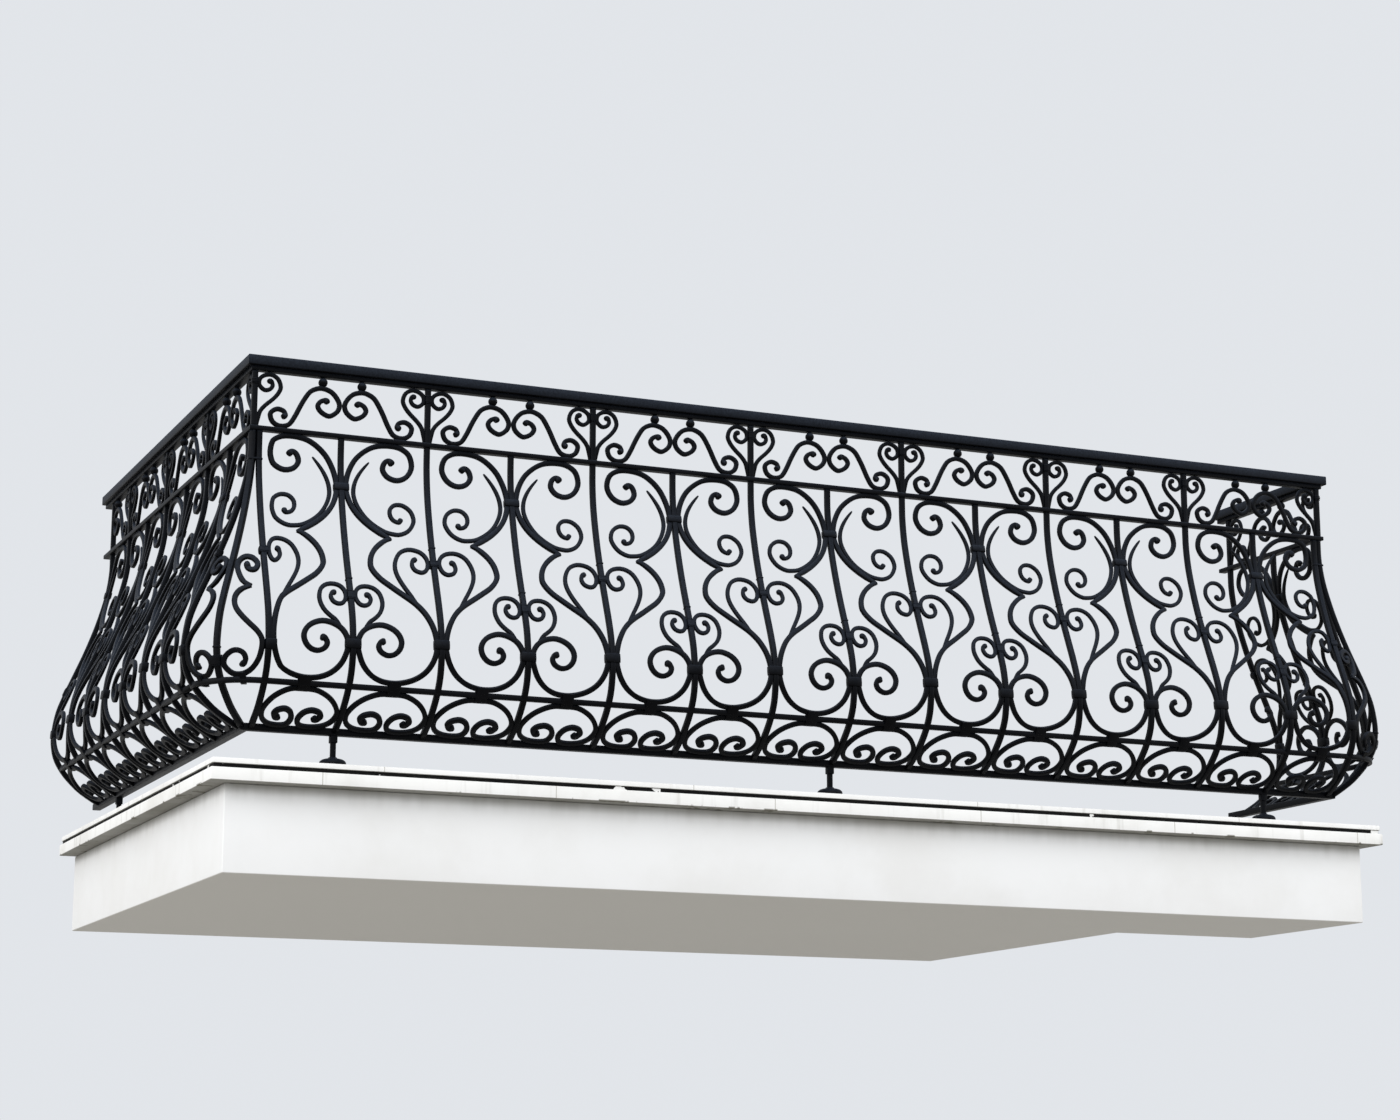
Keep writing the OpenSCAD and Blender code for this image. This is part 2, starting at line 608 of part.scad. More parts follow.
// A clip, open where the bars pass, that ties the big circle, the belly rail and the arch
clip_h = belly_rail_h + 2 * bar;
module clip(x) difference() {
    translate([x, -belly_y, belly_rail_z]) difference() {
        cube([clip_len, belly_rail_w + 2 * play + 2 * collar_t, clip_h + 2 * collar_t],
            center = true);
        cube([clip_len + 2, belly_rail_w + 2 * play, clip_h], center = true);
    }
    band(x - clip_len, x + clip_len, scroll_depth + 2 * play);
}
module collars(n) {
    for (i = [2 : 2 : n - 1]) long_collars(i * half);
    for (i = [2 : 2 : n - 1]) frieze_boss(i * half);
    for (i = [1 : 2 : n - 1]) short_collars(i * half);
    for (i = [0 : n - 1]) clip((i + 0.5) * half);
}
module collars_front() iron() run_front() collars(n_front);
module collars_left() iron() run_left() collars(n_left);
module collars_right() iron() run_right() collars(n_right);

// A foot: a square bar from the bottom rail to a round plate on the deck
module foot_at(x) translate([x, 0, 0]) {
    translate([-foot / 2, -foot / 2, foot_plate_t]) cube([foot, foot, bottom_bottom - foot_plate_t]);
    cylinder(d = foot_plate_d, h = foot_plate_t, $fn = 48);
    translate([0, 0, foot_plate_t]) cylinder(d1 = foot_plate_d * 0.6, d2 = foot * 1.5,
        h = foot_neck_h, $fn = 48);
}
module feet_front() iron() run_front() {
    foot_at(half);
    foot_at((2 * floor(n_front / 4) + 1) * half);
    foot_at((n_front - 1) * half);
}
module foot_left() iron() run_left() foot_at((n_left - 1) * half);

// Plan of the slab and its layers, each o past the railing line
module plan(o) polygon([[x_left - o, y_front - o], [x_right + o, y_front - o],
    [x_right + o, y_right_wall], [x_recess, y_right_wall], [x_recess, 0], [x_left - o, 0]]);
module slab() color([0.9, 0.9, 0.9]) translate([0, 0, -slab_t / 2]) linear_extrude(slab_t)
    plan(slab_out);
module drip_course() color([0.85, 0.85, 0.83]) translate([0, 0, slab_t / 2]) linear_extrude(drip_h)
    plan(drip_out);
module deck_topping() color([0.8, 0.8, 0.8]) translate([0, 0, slab_t / 2 + drip_h]) {
    linear_extrude(joint_h) plan(joint_out);
    translate([0, 0, joint_h]) linear_extrude(topping_h) plan(topping_out);
}

slab();
drip_course();
deck_topping();
handrail_front();
handrail_left();
handrail_right();
core_rail_front();
core_rail_left();
core_rail_right();
upper_rail_front();
upper_rail_left();
upper_rail_right();
belly_rail_front();
belly_rail_left();
belly_rail_right();
bottom_rail_front();
bottom_rail_left();
bottom_rail_right();
pickets_front();
pickets_left();
pickets_right();
corner_pickets_left();
corner_pickets_right();
frieze_front();
frieze_left();
frieze_right();
scrolls_front(1);  // scrolls_front_1
scrolls_front(2);  // scrolls_front_2
scrolls_front(3);  // scrolls_front_3
scrolls_front(4);  // scrolls_front_4
scrolls_left_1();
scrolls_left_2();
scrolls_right();
corner_scrolls_left();
corner_scrolls_right();
border_front();
border_left();
border_right();
collars_front();
collars_left();
collars_right();
feet_front();
foot_left();
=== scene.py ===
"""A wrought-iron balcony: a bellied scrollwork railing on three sides of a rendered slab."""
import json
import logging
import math
from dataclasses import dataclass, field
from enum import Enum
from typing import Dict, List, Optional, Sequence, Tuple, Union

import bmesh
import bpy
import numpy as np
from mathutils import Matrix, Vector

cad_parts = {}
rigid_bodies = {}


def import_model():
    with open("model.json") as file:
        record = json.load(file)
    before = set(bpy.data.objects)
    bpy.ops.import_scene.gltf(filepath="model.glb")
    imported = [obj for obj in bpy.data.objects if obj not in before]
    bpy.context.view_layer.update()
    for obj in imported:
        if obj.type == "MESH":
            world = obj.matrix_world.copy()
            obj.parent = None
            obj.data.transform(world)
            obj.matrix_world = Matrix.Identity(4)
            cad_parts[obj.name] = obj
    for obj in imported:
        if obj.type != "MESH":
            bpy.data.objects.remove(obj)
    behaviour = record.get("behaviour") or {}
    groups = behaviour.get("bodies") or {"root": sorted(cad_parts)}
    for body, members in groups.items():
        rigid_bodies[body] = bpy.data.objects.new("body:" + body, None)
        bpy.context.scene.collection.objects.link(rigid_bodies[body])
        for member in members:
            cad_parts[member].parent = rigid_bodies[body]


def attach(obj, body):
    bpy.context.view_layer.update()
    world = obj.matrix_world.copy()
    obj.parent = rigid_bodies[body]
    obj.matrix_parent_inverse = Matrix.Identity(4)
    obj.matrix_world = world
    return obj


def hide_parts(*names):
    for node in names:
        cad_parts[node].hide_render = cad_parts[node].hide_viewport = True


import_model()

LOG = logging.getLogger("balcony")
MM = 0.001
Pair = Tuple[float, float]
Triple = Tuple[float, float, float]
Number = Union[float, np.ndarray]
Mesh = bpy.types.Mesh
Material = bpy.types.Material
Socket = bpy.types.NodeSocket
Value = Union[Socket, float, Triple]
STILL: Triple = (0.0, 0.0, 0.0)


class Slot(Enum):
    """The record's material slots."""

    IRON = "painted_iron"
    RENDER = "rendered_concrete"
    COPING = "coping"
    TOPPING = "topping"


class Side(Enum):
    """On which side of its picket a collar holds a scroll, going along the run."""

    BOTH = "both"
    BEFORE = "before"
    AFTER = "after"


class Kind(Enum):
    """What ties or trims a picket."""

    COLLAR = "collar"
    BOSS = "boss"
    RING = "ring"


class End(Enum):
    """How a forged bar ends."""

    CUT = "cut"
    ROOT = "root"
    TAIL = "tail"
    KNOB = "knob"
    BUD = "bud"

    def swell(self, away: np.ndarray) -> np.ndarray:
        """Gives the bar's share of its full section near this end.

        Args:
            away: Distances from the end, in metres.

        Returns:
            One share for each distance.
        """
        tables = {
            End.CUT: ((0.0, 1.0), (1.0, 1.0)),
            End.ROOT: ((0.0, 0.72), (0.03, 1.0)),
            End.TAIL: ((0.0, 0.30), (0.004, 0.52), (0.02, 0.72), (0.05, 0.92), (0.09, 1.0)),
            End.KNOB: ((0.0, 0.55), (0.0012, 0.92), (0.004, 1.2), (0.008, 1.3), (0.012, 1.16),
                       (0.017, 0.96), (0.035, 1.0)),
            End.BUD: ((0.0, 0.7), (0.0012, 1.02), (0.004, 1.32), (0.008, 1.44), (0.0125, 1.32),
                      (0.019, 1.12), (0.06, 1.13), (0.11, 1.06), (0.16, 1.0)),
        }
        where, share = zip(*tables[self])
        return np.interp(away, where, share)


@dataclass(frozen=True)
class Plan:
    """Sizes of the railing in metres. Heights are above the deck, and the front faces -Y.

    A cell is half a bay. A stub runs from a side's last picket to its built-in end. The first
    pickets of two runs stand corner_gap from their post, and the diagonal picket between them
    takes corner_share of the belly. The slab's notch is notch_w wide.
    """

    bay: float = 0.460
    front_cells: int = 14
    left_cells: int = 7
    right_cells: int = 2
    left_stub: float = 0.075
    right_stub: float = 0.045
    corner_gap: float = 0.016
    corner_share: float = 0.92
    notch_w: float = 0.420
    deck: float = 0.166
    handrail_top: float = 1.043
    handrail_w: float = 0.046
    handrail_h: float = 0.026
    core_h: float = 0.011
    rail_w: float = 0.024
    upper_rail: float = 0.856
    upper_h: float = 0.012
    belly_rail: float = 0.190
    belly_w: float = 0.0145
    belly_h: float = 0.0138
    bottom_rail: float = 0.093
    bottom_h: float = 0.018
    belly_out: float = 0.152
    picket: float = 0.0143
    bar: float = 0.0136
    thin: float = 0.0108
    frieze_bar: float = 0.0124
    border_bar: float = 0.0130
    depth: float = 0.0102

    @property
    def half(self) -> float:
        """Half a bay, from a long picket to a short one."""
        return self.bay / 2

    @property
    def front_len(self) -> float:
        """Length of the front run between its corner posts."""
        return self.front_cells * self.half

    @property
    def left_len(self) -> float:
        """Length of the left run from its corner post to its built-in end."""
        return self.left_cells * self.half + self.left_stub

    @property
    def right_len(self) -> float:
        """Length of the right run from its corner post to its built-in end."""
        return self.right_cells * self.half + self.right_stub

    @property
    def core_bottom(self) -> float:
        """Underside of the core rail below the handrail."""
        return self.handrail_top - self.handrail_h - self.core_h


class Belly:
    """The railing's bellied side view, as the distance that it stands out at each height."""

    SHAPE: Tuple[Pair, ...] = (
        (-0.3, 0), (0, 0), (0.08, 0.004), (0.15, 0.045), (0.21, 0.11), (0.29, 0.225),
        (0.36, 0.345), (0.43, 0.48), (0.51, 0.65), (0.59, 0.82), (0.66, 0.94), (0.74, 1),
        (0.795, 0.985), (0.84, 0.92), (0.885, 0.78), (0.92, 0.62), (0.955, 0.42), (1, 0.06))

    def __init__(self, plan: Plan) -> None:
        """Works out a fine table of the side view.

        Args:
            plan: Sizes of the railing.
        """
        drop = plan.upper_rail - plan.bottom_rail
        points = [(plan.upper_rail - a * drop, b * plan.belly_out) for a, b in self.SHAPE]
        line = smooth_line(points, 12)[::-1]
        self.heights = line[:, 0]
        self.outs = np.maximum(line[:, 1], 0.0)

    def out(self, z: Number) -> Number:
        """Distance past the railing line at heights z."""
        return np.interp(z, self.heights, self.outs)

    def slope(self, z: Number, step: float = 0.006) -> Number:
        """Change of that distance per unit of height."""
        return (self.out(z + step) - self.out(z - step)) / (2 * step)

    def place(self, u: np.ndarray, z: np.ndarray,
              share: float = 1.0) -> Tuple[np.ndarray, np.ndarray]:
        """Lays a flat line on the belly.

        Args:
            u: Distances along the run.
            z: Heights above the deck.
            share: How much of the belly is taken.

        Returns:
            The points, and at each the unit vector that faces outwards.
        """
        u, z = np.asarray(u, float), np.asarray(z, float)
        points = np.stack([u, -share * self.out(z), z], 1)
        faces = np.stack([np.zeros_like(z), -np.ones_like(z), -share * self.slope(z)], 1)
        return points, faces / np.linalg.norm(faces, axis=1)[:, None]


def smooth_line(points: Sequence[Pair], pieces: int = 10) -> np.ndarray:
    """Runs a smooth curve through points.

    Args:
        points: Places that it passes through.
        pieces: Short pieces between two points.

    Returns:
        Close points all along the curve.
    """
    p = np.asarray(points, float)
    n = len(p)
    made = []
    for i in range(n - 1):
        a, b, c, d = p[max(i - 1, 0)], p[i], p[i + 1], p[min(i + 2, n - 1)]
        for t in np.arange(pieces) / pieces:
            made.append(0.5 * (2 * b + (c - a) * t + (2 * a - 5 * b + 4 * c - d) * t ** 2
                               + (3 * b - a - 3 * c + d) * t ** 3))
    made.append(p[-1])
    return np.array(made)


def travelled(line: np.ndarray) -> np.ndarray:
    """Distance along a line at each of its points."""
    step = np.linalg.norm(np.diff(line, axis=0), axis=1)
    return np.concatenate([[0], np.cumsum(step)])


@dataclass(frozen=True)
class Spacing:
    """How far apart the points of a swept line stand, in metres.

    Attributes:
        longest: Longest step, on straight stretches.
        shortest: Shortest step, in tight bends.
        bend: Turn from one step to the next, in radians.
        grain: Step of the fine line that is thinned.
        reach: Fine steps over which a turn is measured.
        tip: Shortest step near an end.
        tip_start: Step at the very end, before it grows.
        tip_growth: Growth of the step for each unit away from the end.
        tip_gap: Least distance between the last two points.
    """

    longest: float = 0.0095
    shortest: float = 0.0022
    bend: float = 0.21
    grain: float = 0.0008
    reach: int = 5
    tip: float = 0.0020
    tip_start: float = 0.0015
    tip_growth: float = 0.35
    tip_gap: float = 0.001

    def thin(self, line: np.ndarray) -> np.ndarray:
        """Thins a fine line to steps that follow its bends and shorten towards its ends.

        Args:
            line: Fine points of a line, in metres.

        Returns:
            The points that stay.
        """
        way = travelled(line)
        fine = np.linspace(0, way[-1], max(8, int(way[-1] / self.grain)))
        p = np.stack([np.interp(fine, way, line[:, k]) for k in range(line.shape[1])], 1)
        w = self.reach
        a, b = p[w:-w] - p[:-2 * w], p[2 * w:] - p[w:-w]
        sizes = np.linalg.norm(a, axis=1) * np.linalg.norm(b, axis=1)
        cos = (a * b).sum(1) / np.maximum(sizes, 1e-12)
        turn = np.zeros(len(p))
        turn[w:-w] = np.arccos(np.clip(cos, -1, 1)) / (w * (fine[1] - fine[0]))
        want = np.clip(self.bend / np.maximum(turn, 1e-6), self.shortest, self.longest)
        near = np.minimum(fine, fine[-1] - fine)
        want = np.minimum(want, np.maximum(self.tip, near * self.tip_growth + self.tip_start))
        stay, last = [0], 0.0
        for i in range(1, len(p) - 1):
            if fine[i] - last >= want[i] and fine[-1] - fine[i] > self.tip_gap:
                stay.append(i)
                last = fine[i]
        return p[stay + [len(p) - 1]]


def loft(rings: Sequence[np.ndarray]) -> Mesh:
    """Skins closed rings of equal count, and caps both ends.

    Args:
        rings: Rings of points, each of the same count.

    Returns:
        A closed mesh whose faces point outwards.
    """
    bm = bmesh.new()
    rows = [[bm.verts.new(p) for p in ring] for ring in rings]
    n = len(rows[0])
    for low, high in zip(rows, rows[1:]):
        for k in range(n):
            bm.faces.new((low[k], low[(k + 1) % n], high[(k + 1) % n], high[k]))
    bm.faces.new(rows[0])
    bm.faces.new(rows[-1])
    bmesh.ops.recalc_face_normals(bm, faces=bm.faces)
    mesh = bpy.data.meshes.new("loft")
    bm.to_mesh(mesh)
    bm.free()
    return mesh


def rounded(a: float, b: float, edge: float, arc: int = 3) -> np.ndarray:
    """A rounded rectangle's outline.

    Args:
        a: Half its first side.
        b: Half its second side.
        edge: Radius of its corners.
        arc: Points in each corner.

    Returns:
        Points of the outline in two dimensions.
    """
    edge = min(edge, a * 0.95, b * 0.95)
    made = []
    for q, (cx, cy) in enumerate(((a - edge, b - edge), (edge - a, b - edge),
                                  (edge - a, edge - b), (a - edge, edge - b))):
        for t in np.linspace(0, math.pi / 2, arc):
            w = q * math.pi / 2 + t
            made.append((cx + edge * math.cos(w), cy + edge * math.sin(w)))
    return np.array(made)


def moulding(half: float, steps: Sequence[Pair], middle: Sequence[Pair] = ()) -> List[Pair]:
    """Makes a profile that is the same at both ends.

    Args:
        half: Half its length.
        steps: Distances from its end, each with how much the outline stands back.
        middle: Places between the two ends, measured from its middle.

    Returns:
        The profile's places, each with how much the outline stands back.
    """
    return ([(-half + a, back) for a, back in steps] + list(middle)
            + [(half - a, back) for a, back in reversed(steps)])


def joined(name: str, meshes: Sequence[Mesh], material: Material) -> bpy.types.Object:
    """Joins meshes to one object at the origin.

    Args:
        name: Name of the piece.
        meshes: The meshes, which are used up.
        material: The piece's finish.

    Returns:
        The new object, linked to the scene.
    """
    points, faces, smooth, first = [], [], [], 0
    for mesh in meshes:
        count = len(mesh.vertices)
        co = np.zeros(count * 3)
        mesh.vertices.foreach_get("co", co)
        points.append(co.reshape(-1, 3))
        for face in mesh.polygons:
            faces.append([v + first for v in face.vertices])
            smooth.append(face.use_smooth)
        first += count
        bpy.data.meshes.remove(mesh)
    made = bpy.data.meshes.new(name)
    made.from_pydata(np.concatenate(points).tolist(), [], faces)
    made.polygons.foreach_set("use_smooth", smooth)
    made.materials.append(material)
    made.update()
    piece = bpy.data.objects.new(name, made)
    bpy.context.scene.collection.objects.link(piece)
    return piece


def soften(piece: bpy.types.Object, degrees: float) -> None:
    """Shades a piece smooth, with its edges above an angle kept sharp.

    Args:
        piece: The piece.
        degrees: The angle.
    """
    mesh = piece.data
    bm = bmesh.new()
    bm.from_mesh(mesh)
    for edge in bm.edges:
        turn = edge.calc_face_angle(0.0)
        edge.smooth = len(edge.link_faces) == 2 and turn < math.radians(degrees)
    for face in bm.faces:
        face.smooth = True
    bm.to_mesh(mesh)
    bm.free()


def kept(piece: bpy.types.Object, slot: Slot, node: str) -> None:
    """Puts a finished piece on the one body, and hides the CAD node that it stands for.

    Args:
        piece: The piece.
        slot: Material slot of the record. Not used.
        node: The CAD node that it stands for.
    """
    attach(piece, "root")
    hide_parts(node)
    LOG.info("%s: %d faces", piece.name, len(piece.data.polygons))


@dataclass
class Bar:
    """A forged bar: its middle line in space, which way it faces, and its section."""

    points: np.ndarray
    faces: np.ndarray
    width: float
    start: End = End.CUT
    finish: End = End.CUT

    def swell(self) -> np.ndarray:
        """Share of the full section at each point."""
        way = travelled(self.points)
        return self.start.swell(way) * self.finish.swell(way[-1] - way)


@dataclass(frozen=True)
class Drawing:
    """A drawn line of the pattern, in millimetres, with its bar's width and ends."""

    points: Tuple[Pair, ...]
    width: float
    start: End
    finish: End


@dataclass
class Run:
    """One straight run of the railing, whose own -Y is outward.

    Attributes:
        name: Name of the run, as in its CAD nodes.
        cells: Number of its half bays.
        length: Length from its corner post to its far end.
        corner: Place of its corner post in the plan.
        angle: Turn of its axes about the upright.
        sense: 1 where it leaves the post towards its +X, and -1 towards its -X.
        both: Whether it has a corner at each end.
        plan: Sizes of the railing.
    """

    name: str
    cells: int
    length: float
    corner: Pair
    angle: float
    sense: float
    both: bool
    plan: Plan

    def place(self, points: np.ndarray) -> np.ndarray:
        """Moves points from the run's own axes to where it stands."""
        return self.turn(points) + np.array([*self.corner, self.plan.deck])

    def turn(self, vectors: np.ndarray) -> np.ndarray:
        """Turns directions from the run's own axes.

        Args:
            vectors: Steps along it from its corner post, inwards and upwards.

        Returns:
            The same steps in the frame.
        """
        v = np.array(vectors, float).reshape(-1, 3)
        v[:, 0] *= self.sense
        c, s = math.cos(self.angle), math.sin(self.angle)
        return np.stack([v[:, 0] * c - v[:, 1] * s, v[:, 0] * s + v[:, 1] * c, v[:, 2]], 1)

    def pitch(self, step: float) -> Triple:
        """The vector of a step along the run."""
        return tuple(float(x) for x in self.turn(np.array([[step, 0, 0]]))[0])

    def stand(self, bar: Bar) -> Bar:
        """Puts a bar where the run stands."""
        return Bar(self.place(bar.points), self.turn(bar.faces), bar.width, bar.start, bar.finish)

    def skin(self, rings: Sequence[np.ndarray]) -> Mesh:
        """Skins rings that are given in the run's own axes."""
        return loft([self.place(ring) for ring in rings])

    def turned(self, u: float, profile: Sequence[Pair], sides: int) -> Mesh:
        """Makes a round shape on an upright axis over the run's line.

        Args:
            u: Place of the axis along the run.
            profile: Radii, each with its height above the deck.
            sides: Number of its sides.

        Returns:
            A closed mesh in place.
        """
        around = [(math.cos(w), math.sin(w)) for w in np.linspace(0, 2 * math.pi, sides + 1)[:-1]]
        return self.skin([np.array([(u + r * c, r * s, h) for c, s in around])
                          for r, h in profile])


class TreeMaker:
    """Builds one Geometry Nodes tree, and runs it on meshes."""

    def __init__(self, name: str, sizes: Sequence[str] = ()) -> None:
        """Starts a tree with its named inputs.

        Args:
            name: Name of the tree.
            sizes: Names of its inputs for sizes.
        """
        self.tree = bpy.data.node_groups.new(name, "GeometryNodeTree")
        self.tree.interface.new_socket(name="Geometry", in_out="OUTPUT",
                                       socket_type="NodeSocketGeometry")
        kinds = {"Geometry": "NodeSocketGeometry", **{size: "NodeSocketFloat" for size in sizes},
                 "Copies": "NodeSocketInt", "Pitch": "NodeSocketVector",
                 "Paint": "NodeSocketMaterial"}
        self.ids: Dict[str, str] = {}
        for label, kind in kinds.items():
            made = self.tree.interface.new_socket(name=label, in_out="INPUT", socket_type=kind)
            self.ids[label] = made.identifier
        self.start = self.tree.nodes.new("NodeGroupInput")
        self.end = self.tree.nodes.new("NodeGroupOutput")

    def add(self, kind: str, links: Optional[Dict] = None, values: Optional[Dict] = None,
            **settings: object) -> bpy.types.Node:
        """Adds a node.

        Args:
            kind: The node's type.
            links: Input socket names, each with the output socket that feeds it.
            values: Input socket names, each with its fixed value.
            settings: The node's own settings.

        Returns:
            The new node.
        """
        made = self.tree.nodes.new(kind)
        for key, value in settings.items():
            setattr(made, key, value)
        named = {socket.name: socket for socket in made.inputs}
        for key, source in (links or {}).items():
            self.tree.links.new(source, named[key])
        for key, value in (values or {}).items():
            named[key].default_value = value
        return made

    def given(self, name: str) -> Socket:
        """The socket of a named input."""
        return self.start.outputs[name]

    def repeat(self, shape: Socket) -> None:
        """Repeats a shape along the pitch, and ends the tree with its instances made real.

        Args:
            shape: The socket that gives the shape.
        """
        row = self.add("GeometryNodeMeshLine", {"Count": self.given("Copies"),
                                                "Offset": self.given("Pitch")})
        many = self.add("GeometryNodeInstanceOnPoints", {"Points": row.outputs["Mesh"],
                                                         "Instance": shape})
        real = self.add("GeometryNodeRealizeInstances", {"Geometry": many.outputs["Instances"]})
        soft = self.add("GeometryNodeSetShadeSmooth", {"Geometry": real.outputs["Geometry"]})
        paint = self.add("GeometryNodeSetMaterial", {"Geometry": soft.outputs["Geometry"],
                                                     "Material": self.given("Paint")})
        self.tree.links.new(paint.outputs["Geometry"], self.end.inputs[0])

    def run(self, mesh: Mesh, values: Dict[str, object]) -> Mesh:
        """Runs the tree on a mesh.

        Args:
            mesh: The mesh that it starts from.
            values: The tree's named inputs.

        Returns:
            A plain mesh.
        """
        carrier = bpy.data.objects.new("carrier", mesh)
        bpy.context.scene.collection.objects.link(carrier)
        modifier = carrier.modifiers.new("tree", "NODES")
        modifier.node_group = self.tree
        for name, value in values.items():
            modifier[self.ids[name]] = value
        graph = bpy.context.evaluated_depsgraph_get()
        graph.update()
        made = bpy.data.meshes.new_from_object(carrier.evaluated_get(graph))
        carrier.modifiers.remove(modifier)
        bpy.data.objects.remove(carrier)
        return made


class Forge:
    """Makes the ironwork: bars swept along lines, and small pieces repeated along a run."""

    def __init__(self, iron: Material) -> None:
        """Builds the two Geometry Nodes trees.

        Args:
            iron: The paint that the ironwork gets.
        """
        self.iron = iron
        self.bars = self.bar_tree()
        self.repeats = TreeMaker("Repeated pieces")
        self.repeats.repeat(self.repeats.given("Geometry"))

    @staticmethod
    def bar_tree() -> TreeMaker:
        """Builds the tree that sweeps a soft-edged bar along lines.

        Returns:
            The tree's maker.
        """
        maker = TreeMaker("Forged bars", ("Width", "Depth", "Edge"))
        path = maker.add("GeometryNodeMeshToCurve", {"Mesh": maker.given("Geometry")})
        facing = maker.add("GeometryNodeInputNamedAttribute", values={"Name": "face"},
                           data_type="FLOAT_VECTOR")
        turned = maker.add("GeometryNodeSetCurveNormal", {"Curve": path.outputs["Curve"],
                                                          "Normal": facing.outputs["Attribute"]},
                           mode="FREE")
        share = maker.add("GeometryNodeInputNamedAttribute", values={"Name": "swell"},
                          data_type="FLOAT")
        section = maker.add("GeometryNodeCurvePrimitiveQuadrilateral",
                            {"Width": maker.given("Depth"), "Height": maker.given("Width")})
        soft = maker.add("GeometryNodeFilletCurve", {"Curve": section.outputs["Curve"],
                                                     "Radius": maker.given("Edge")},
                         {"Count": 2}, mode="POLY")
        solid = maker.add("GeometryNodeCurveToMesh", {"Curve": turned.outputs["Curve"],
                                                      "Profile Curve": soft.outputs["Curve"],
                                                      "Scale": share.outputs["Attribute"]},
                          {"Fill Caps": True})
        maker.repeat(solid.outputs["Mesh"])
        return maker

    def sweep(self, bars: Sequence[Bar], width: float, depth: float, edge: float = 0.0021,
              copies: int = 1, pitch: Triple = STILL) -> Mesh:
        """Sweeps bars and repeats them.

        Args:
            bars: The bars, whose own widths scale the section.
            width: Width of the section across the bar, in the panel.
            depth: Depth of the section through the panel.
            edge: Radius of the section's corners.
            copies: How many times the bars stand along the run.
            pitch: The vector from one copy to the next.

        Returns:
            A plain mesh.
        """
        points, faces, swells, edges = [], [], [], []
        for bar in bars:
            first = sum(len(p) for p in points)
            points.append(bar.points)
            faces.append(bar.faces)
            swells.append(bar.swell() * bar.width / width)
            edges += [(first + k, first + k + 1) for k in range(len(bar.points) - 1)]
        mesh = bpy.data.meshes.new("lines")
        mesh.from_pydata(np.concatenate(points).tolist(), edges, [])
        mesh.attributes.new("face", "FLOAT_VECTOR", "POINT").data.foreach_set(
            "vector", np.concatenate(faces).astype(np.float32).ravel())
        mesh.attributes.new("swell", "FLOAT", "POINT").data.foreach_set(
            "value", np.concatenate(swells).astype(np.float32))
        return self.bars.run(mesh, {"Width": width, "Depth": depth, "Edge": edge,
                                    "Copies": copies, "Pitch": pitch, "Paint": self.iron})

    def repeat(self, mesh: Mesh, copies: int = 1, pitch: Triple = STILL) -> Mesh:
        """Repeats a small mesh along a run, and gives a plain mesh."""
        return self.repeats.run(mesh, {"Copies": copies, "Pitch": pitch, "Paint": self.iron})

    def piece(self, name: str, meshes: Sequence[Mesh], sharp: Optional[float] = None,
              paint: Optional[Material] = None) -> None:
        """Joins meshes to a finished piece, which stands for the CAD node of its name.

        Args:
            name: Name of the CAD node.
            meshes: The meshes, which are used up.
            sharp: Angle in degrees above which its edges stay sharp, where it needs one.
            paint: Its paint, where it isn't the common one.
        """
        made = joined(f"{name}_iron", meshes, paint or self.iron)
        if sharp is not None:
            soften(made, sharp)
        kept(made, Slot.IRON, name)


